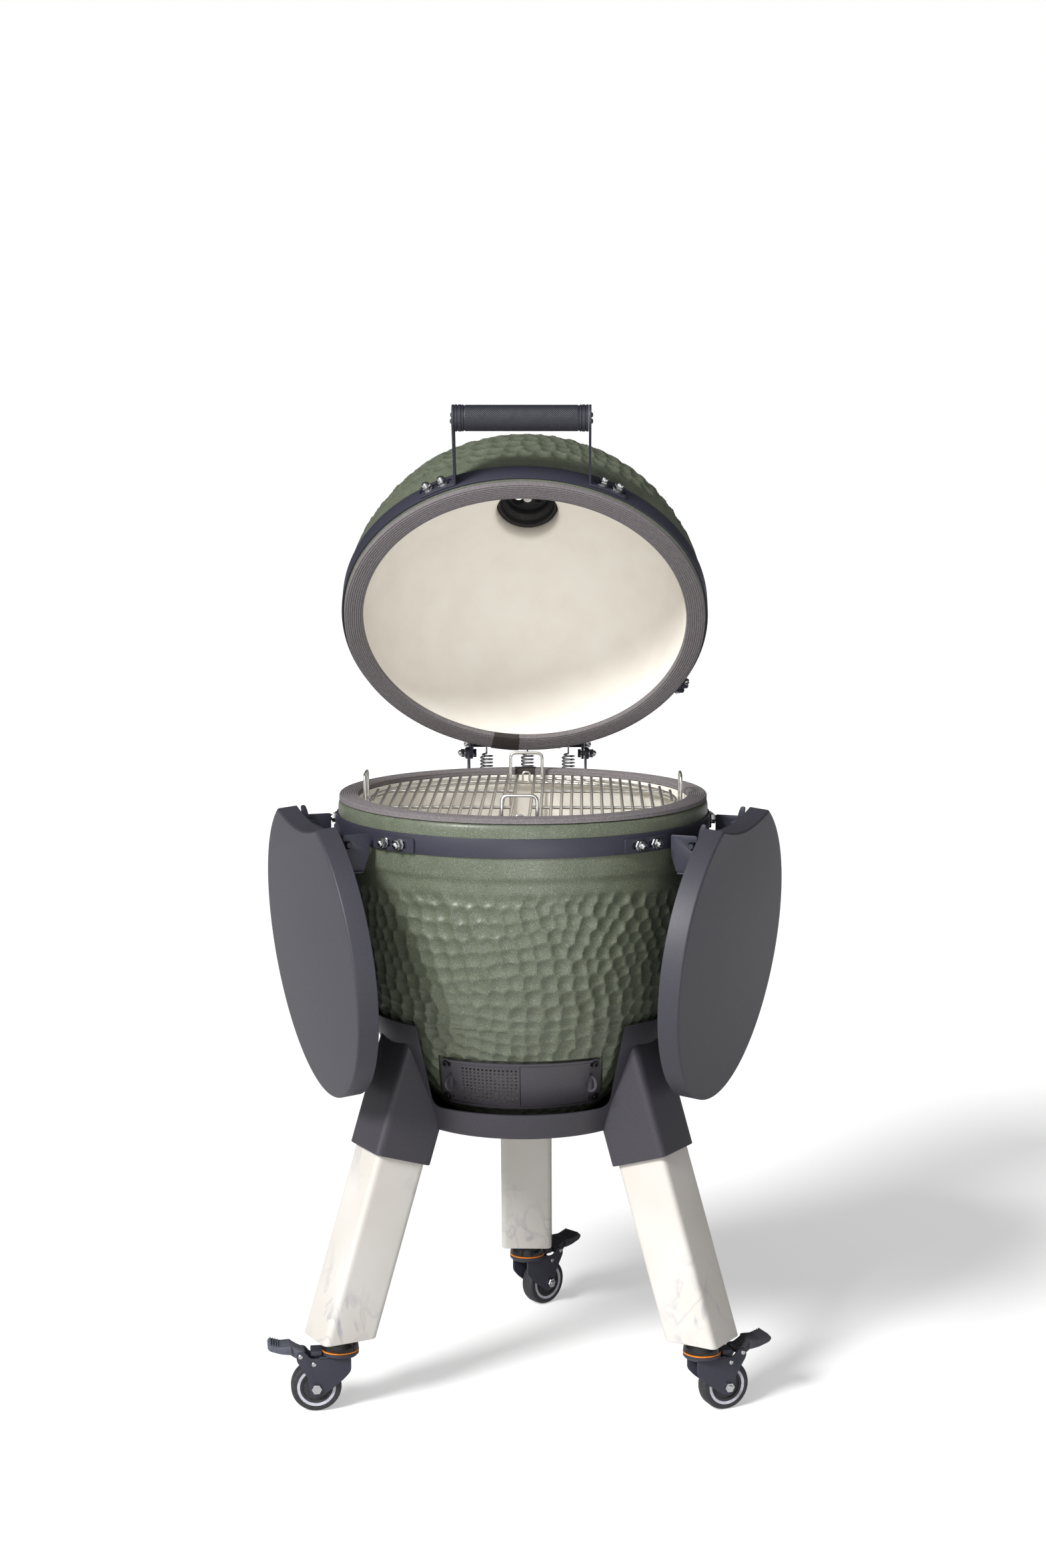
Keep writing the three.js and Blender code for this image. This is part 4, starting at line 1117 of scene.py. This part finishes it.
def bent(shape, out):
    """Bends a flat shape, drawn in X and Z with its outer face at y = 0, onto the vent's cone."""
    points = shape.points.copy()
    radius = np.array([vent_radius(z, out) for z in points[:, 2]])
    angle = points[:, 0] / radius
    depth = radius - points[:, 1]
    points[:, 0], points[:, 1] = depth * np.sin(angle), -depth * np.cos(angle)
    return Shape(points, shape.faces, shape.paint)


def flat_sheet(x, z, thick, columns, holes=()):
    """A flat sheet in X and Z, sliced across so that it can bend, with holes through it."""
    sheet = loft([[(u, 0, z[0]), (u, 0, z[1]), (u, thick, z[1]), (u, thick, z[0])]
                  for u in np.linspace(*x, columns)])
    if holes:
        sheet = combine(sheet, join(*holes))
    return sheet


def peg(x, z, radius):
    """A tool that drills a flat sheet."""
    return aimed(lathe([(radius, -6), (radius, 8)], 12), (x, 0, z), (0, 1, 0))


def loop_handle(azimuth, out):
    """A wire-thin D that stands out from a slide."""
    middle = (VENT_Z[0] + VENT_Z[1]) / 2
    root = vent_radius(middle, out)
    outline = [(root + 20.5 * sin(t) - 0.5, middle + 14 * cos(t))
               for t in np.linspace(0, pi, 25)]
    hole = [(root + 5.5 + 11 * sin(t), middle - 9 * cos(t))
            for t in np.linspace(0, pi, 17)]
    shape = combine(sideways(outline, -1.5, 1.5, 0.4), sideways(hole, -5, 5, 0.1))
    return shape.turned(azimuth - 90)


def draft_vent():
    low, high = VENT_Z
    screws = [(x, z) for x in (-103.5, 103.5) for z in (low + 9, high - 9)]
    window = box([-95, -4], [-6, 8], [low + 9, high - 9])
    frame_holes = [window, *[peg(x, z, 3.2) for x, z in screws]]
    wide = VENT_HALF * 1.16  # more than the trimmed width
    face = bent(flat_sheet((-wide, wide), (low, high), 3, 72, frame_holes), 3)
    outline = soften([(-VENT_HALF, low), (VENT_HALF, low), (VENT_HALF, high), (-VENT_HALF, high)],
                     7, 6)
    trim = plate(outline, 0, 260, 0.01).turned(90, "X")
    face = combine(face, trim, "INTERSECT")
    lips = [vent_sheet((-101, 101), z, (2.5, 8)) for z in ((low, low + 3.2), (high - 3.2, high))]
    put("vent_frame_steel", join(face, *lips), VENT_COAT, "base", ["vent_frame"])
    bolts = []
    for x, z in screws:
        away = Vector((x, -sqrt(vent_radius(z, 3) ** 2 - x * x), 0)).normalized()
        head = cut(lathe([(5.2, 0), (5.4, 0.4), (5.4, 4.2), (4.8, 5.0)], 32),
                   plate(hexagon(4.6), 2.0, 8, 0.05))
        bolts.append(aimed(head, on_vent(x, z, 2.8), away))
    put("vent_frame_screws", join(*bolts), GLOSS_BLACK, "base")

    inner, outer = low + 4, high - 4
    first, step = HOLE_FIRST, HOLE_STEP
    perforation = [peg(first[0] + step[0] * column, inner + first[1] + step[1] * row, HOLE_R)
                   for column in range(HOLE_COUNT[0]) for row in range(HOLE_COUNT[1])]
    for name, out, ends, holes, handle_at in (
            ("screen", 4.8, (-SLIDE_HALF, -0.6), perforation, 236.5),
            ("door", 6.7, (0.6, SLIDE_HALF), (), 303.5)):
        sheet = bent(flat_sheet(ends, (inner, outer), SLIDE_THICK, 64, holes), out)
        put(f"vent_{name}_steel", join(sheet, loop_handle(handle_at, out - 0.5)), VENT_COAT,
            f"vent_{name}", [f"vent_{name}"])


# ---- Stand ------------------------------------------------------------------------------------
def square_bar(azimuth, size, low, high, level=None, corner=8):
    """A rounded square bar along a leg, cut square across; level cuts its foot flat instead."""
    half = size / 2
    square = soften([(-half, -half), (half, -half), (half, half), (-half, half)], corner * 1.25, 7)
    c = cos(radians(LEG_SPLAY))
    place = (spin(azimuth)
             @ Matrix.Translation((LEG_FOOT_R, 0, LEG_FOOT_Z))
             @ spin(-LEG_SPLAY, "Y"))
    loops = []
    for z, trim in ((low, 0.9), (low, 0.0), (high, 0.0)):
        along = (z - LEG_FOOT_Z) / c
        shape = Shape(np.c_[inset(square, trim), np.full(len(square), along + (0.9 - trim))], [])
        points = shape.moved(place).points
        if level is not None and z == low:
            axis = np.array(place.to_3x3() @ Vector((0, 0, 1)))
            points = points + np.outer((level + 0.9 - trim - points[:, 2]) / axis[2], axis)
        loops.append(points)
    return loft(loops)


def cradle():
    low, top = CRADLE_BOTTOM, CRADLE_TOP
    outer = [(0, low), (158, low), (164, low + 1), (168, low + 6), (178, 440), (226.5, top - 0.8),
             (225.9, top), (223.4, top)]
    inner = [(222.7, top - 0.8), (174, 440.5), (160, low + 4.7), (0, low + 4.7)]
    pan = revolve([*outer, *inner])
    inside = revolve([(0, low + 3), (159, low + 3), (173, 440.5), (221.5, top), (224, top + 8),
                      (0, top + 8)])
    belly = revolve([(0, low - 60), (100, low - 60), (140, low + 1), (0, low + 1)], 64)
    for azimuth in LEG_AZIMUTH.values():
        socket = square_bar(azimuth, SOCKET_SIZE, SOCKET_Z, 548, corner=10)
        socket = cut(socket, square_bar(azimuth, LEG_SIZE + 0.8, SOCKET_Z - 20, 500), inside, belly)
        pan = combine(pan, socket, "UNION")
    drain = lathe([(60, 390), (60, 410)], 64)
    window = [(-124, 438.5), (124, 438.5), (151, 600), (-151, 600)]
    front = plate(soften(window, 14, 6), 0, 320, 0.01).turned(90, "X")
    pan = cut(pan, drain, front)
    put("stand_cradle_steel", pan, STAND_COAT, "base", ["stand_cradle"], 30)


def legs():
    for name, azimuth in LEG_AZIMUTH.items():
        bar = square_bar(azimuth, LEG_SIZE, LEG_FOOT_Z, 398, level=LEG_FOOT_Z, corner=8)
        put(f"leg_marble_{name}", bar, MARBLE, "base", [f"leg_{name}"], 30)


# ---- Casters ----------------------------------------------------------------------------------
def casters():
    top = SWIVEL_Z
    for name, azimuth in LEG_AZIMUTH.items():
        at = Matrix.Translation(outward(azimuth, LEG_FOOT_R, 0)[0])
        swivel = at @ spin(TRAIL_AZIMUTH[name] - 90)
        race = revolve([(0, top + 1.4), (26, top + 1.4), (27, top + 2.4), (26.4, 96), (24, 103),
                        (21, 107), (19, 107.7), (6, 107.7), (6, 124), (0, 124)], 64)
        put(f"caster_dome_{name}", race.moved(at), GLOSS_BLACK, "base",
            [f"caster_race_{name}"])
        seal = lathe([(26, top - 0.8), (27.2, top - 0.4), (27.2, top + 1.2), (26, top + 1.5)], 64)
        put(f"caster_seal_{name}", seal.moved(at), ORANGE, "base")

        disc = lathe([(20, top - 9), (24, top - 8), (27, top - 5), (27, top - 1.6), (26, top - 0.9)],
                     64)
        cheek = soften([(-15, 82), (-15, 60), (-4, 48), (24, 26), (34.5, 22.5), (44, 27), (47, 52),
                        (63, 78), (62, 89), (50, 90), (43, 80), (30, 80.5)], 5)
        cheeks = [sideways(cheek, *sorted((s * 14.5, s * 17.5)), 0.6) for s in (-1, 1)]
        bridge = box([-17.5, 17.5], [-8, 30], [78, 82], 0.8)
        web = box([-14, 14], [26, 42], [83, 90], 1.2)
        body = f"caster_{name}"
        fork = join(disc, bridge, web, *cheeks).moved(swivel)
        put(f"caster_yoke_{name}", fork, BAND_BLACK, body, [f"caster_fork_{name}"])
        nut = join(plate(hexagon(13), 0, 4.6, 0.6), lathe([(4, 4), (4, 6.4), (3.2, 7)], 24))
        bolt = [rod(4, -22, 20, TRAIL, WHEEL_R),
                aimed(nut, (17.6, TRAIL, WHEEL_R), (1, 0, 0)),
                aimed(plate(hexagon(13), 0, 5, 0.6), (-17.6, TRAIL, WHEEL_R), (-1, 0, 0))]
        for s in (-1, 1):
            for y, z in ((57, 84), (38, 72)):
                rivet = lathe([(3.4, 0), (3.2, 1.0), (2.2, 1.7), (1.2, 1.7), (1.0, 0.9)], 24)
                bolt.append(aimed(rivet, (s * 17.5, y, z), (s, 0, 0)))
        put(f"caster_bolt_{name}", join(*bolt).moved(swivel), CHROME, body,
            [f"caster_axle_{name}"])

        tyre = revolve([(20, -10.5), (27, -11.5), (31.5, -WHEEL_HALF), (34.5, -10.6), (WHEEL_R, -7),
                        (WHEEL_R, 7), (34.5, 10.6), (31.5, WHEEL_HALF), (27, 11.5), (20, 10.5)], 72)
        hub = revolve([(4.4, -12), (9, -12), (11, -9), (20.5, -9), (20.5, 9), (11, 9), (9, 12),
                       (4.4, 12)], 72)
        wheel = aimed(join(tyre, hub), (0, TRAIL, WHEEL_R), (1, 0, 0)).moved(swivel)
        put(f"caster_tyre_{name}", wheel, RUBBER, f"wheel_{name}",
            [f"caster_wheel_{name}"])
        flat = np.array([(23.6, 10.7), (27.6, 11.3), (27.6, 12.1), (23.6, 11.7)])
        ring = [revolve(flat * (1, s), 72) for s in (-1, 1)]
        ring = aimed(join(*ring), (0, TRAIL, WHEEL_R), (1, 0, 0)).moved(swivel)
        put(f"caster_ring_{name}", ring, RING_SILVER, f"wheel_{name}")

        root = soften([(51, 79), (62, 79), (72, 86), (76, 97), (71, 100), (60, 93), (50, 89)], 4)
        tread = soften([(68, 86), (84, 88), (100, 93), (104, 98), (101, 103), (86, 99),
                        (70, 100)], 3)
        ribs = [box([-15, 15], [88 + 3.4 * i, 89.6 + 3.4 * i], [98.6 + 1.1 * i, 101 + 1.1 * i], 0.4)
                for i in range(4)]
        pedal = join(sideways(root, -13.5, 13.5, 1.5), sideways(tread, -17.5, 17.5, 1.8), *ribs,
                     rod(3, -14.4, 14.4, 57, 84))
        paint = PEDAL_GREY if name == "front_left" else PEDAL_DARK
        put(f"caster_brake_{name}", pedal.moved(swivel), paint, f"pedal_{name}",
            [f"caster_pedal_{name}"])


# ---- Stage ------------------------------------------------------------------------------------
def sweep_light(nodes, links):
    """A sky that is bright in front and dim elsewhere."""
    toward = nodes.new("ShaderNodeVectorMath")
    toward.operation = "DOT_PRODUCT"
    toward.inputs[1].default_value = Vector(LOBE_FROM).normalized()
    links.new(nodes.new("ShaderNodeTexCoord").outputs["Generated"], toward.inputs[0])
    value = toward.outputs["Value"]
    for operation, number in (("MAXIMUM", 0), ("POWER", 2), ("MULTIPLY", LOBE_POWER),
                              ("ADD", SKY_POWER)):
        step = nodes.new("ShaderNodeMath")
        step.operation = operation
        step.inputs[1].default_value = number
        links.new(value, step.inputs[0])
        value = step.outputs["Value"]
    return value


def camera_sees(nodes, links, usual, seen):
    """One shader for the camera, and another for the light that lands on the grill."""
    choose = nodes.new("ShaderNodeMixShader")
    links.new(nodes.new("ShaderNodeLightPath").outputs["Is Camera Ray"], choose.inputs["Fac"])
    links.new(usual, choose.inputs[1])
    links.new(seen, choose.inputs[2])
    return choose.outputs["Shader"]


def studio():
    world = bpy.data.worlds.new("studio")
    bpy.context.scene.world = world
    world.use_nodes = True
    nodes, links = world.node_tree.nodes, world.node_tree.links
    sky = nodes["Background"]
    sky.inputs["Color"].default_value = (1, 1, 1, 1)
    links.new(sweep_light(nodes, links), sky.inputs["Strength"])
    white = nodes.new("ShaderNodeBackground")
    white.inputs["Color"].default_value = (1, 1, 1, 1)
    links.new(camera_sees(nodes, links, sky.outputs["Background"], white.outputs["Background"]),
              nodes["World Output"].inputs["Surface"])

    paper = Paint("white_floor", (247, 247, 247), 0.9)
    paper.colour(paper.ramp(paper.noise(900, 1), (0.3, (245, 245, 245)), (0.7, (249, 249, 249))))
    paper.shader.inputs["Emission Color"].default_value = (1, 1, 1, 1)
    paper.shader.inputs["Emission Strength"].default_value = FLOOR_GLOW
    dim = paper.nodes.new("ShaderNodeBsdfDiffuse")
    dim.inputs["Color"].default_value = linear((FLOOR_BOUNCE,) * 3)
    paper.links.new(camera_sees(paper.nodes, paper.links, dim.outputs["BSDF"],
                                paper.shader.outputs["BSDF"]),
                    paper.nodes["Material Output"].inputs["Surface"])
    mesh = bpy.data.meshes.new("floor")
    corners = [(-1, -1), (1, -1), (1, 1), (-1, 1)]
    mesh.from_pydata([(x * FLOOR_HALF, y * FLOOR_HALF, 0) for x, y in corners], [], [(0, 1, 2, 3)])
    mesh.materials.append(paper.material)
    floor = add("floor", mesh)

    sun = bpy.data.lights.new("key", "SUN")
    sun.energy = SUN_POWER
    sun.angle = radians(SUN_ANGLE)
    key = add("key", sun)
    key.rotation_euler = (-Vector(SUN_FROM)).to_track_quat("-Z", "Y").to_euler()

    lamp = bpy.data.lights.new("lid_lamp", "SPOT")
    lamp.energy = LID_LAMP_POWER
    lamp.spot_size = radians(LID_LAMP_CONE)
    lamp.spot_blend = 1.0
    lamp.shadow_soft_size = 0.5
    spot = add("lid_lamp", lamp)
    spot.location = Vector(LID_LAMP_AT) * 0.001 + AXIS
    along = Vector(LID_LAMP_AIM) - Vector(LID_LAMP_AT)
    spot.rotation_euler = along.to_track_quat("-Z", "Y").to_euler()
    spot.visible_camera = False

    camera = add("camera", bpy.data.cameras.new("camera"))
    camera.data.sensor_width = 36
    camera.data.lens = CAMERA_LENS
    camera.location = Vector(CAMERA_AT) * 0.001 + AXIS
    camera.rotation_euler = (radians(CAMERA_TILT), 0, radians(CAMERA_TURN))
    bpy.context.scene.camera = camera
    bpy.context.scene.view_settings.view_transform = "Standard"


def recoat_charcoal_grate():
    """The one CAD node that stays gets its finished material."""
    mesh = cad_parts["charcoal_grate"].data
    mesh.materials.clear()
    mesh.materials.append(IRON)


for build in (bowl, dome, gaskets, bands, hinge, springs, grates, rack, fire_parts, handle,
              top_vent, shelves, draft_vent, cradle, legs, casters, recoat_charcoal_grate, studio):
    build()
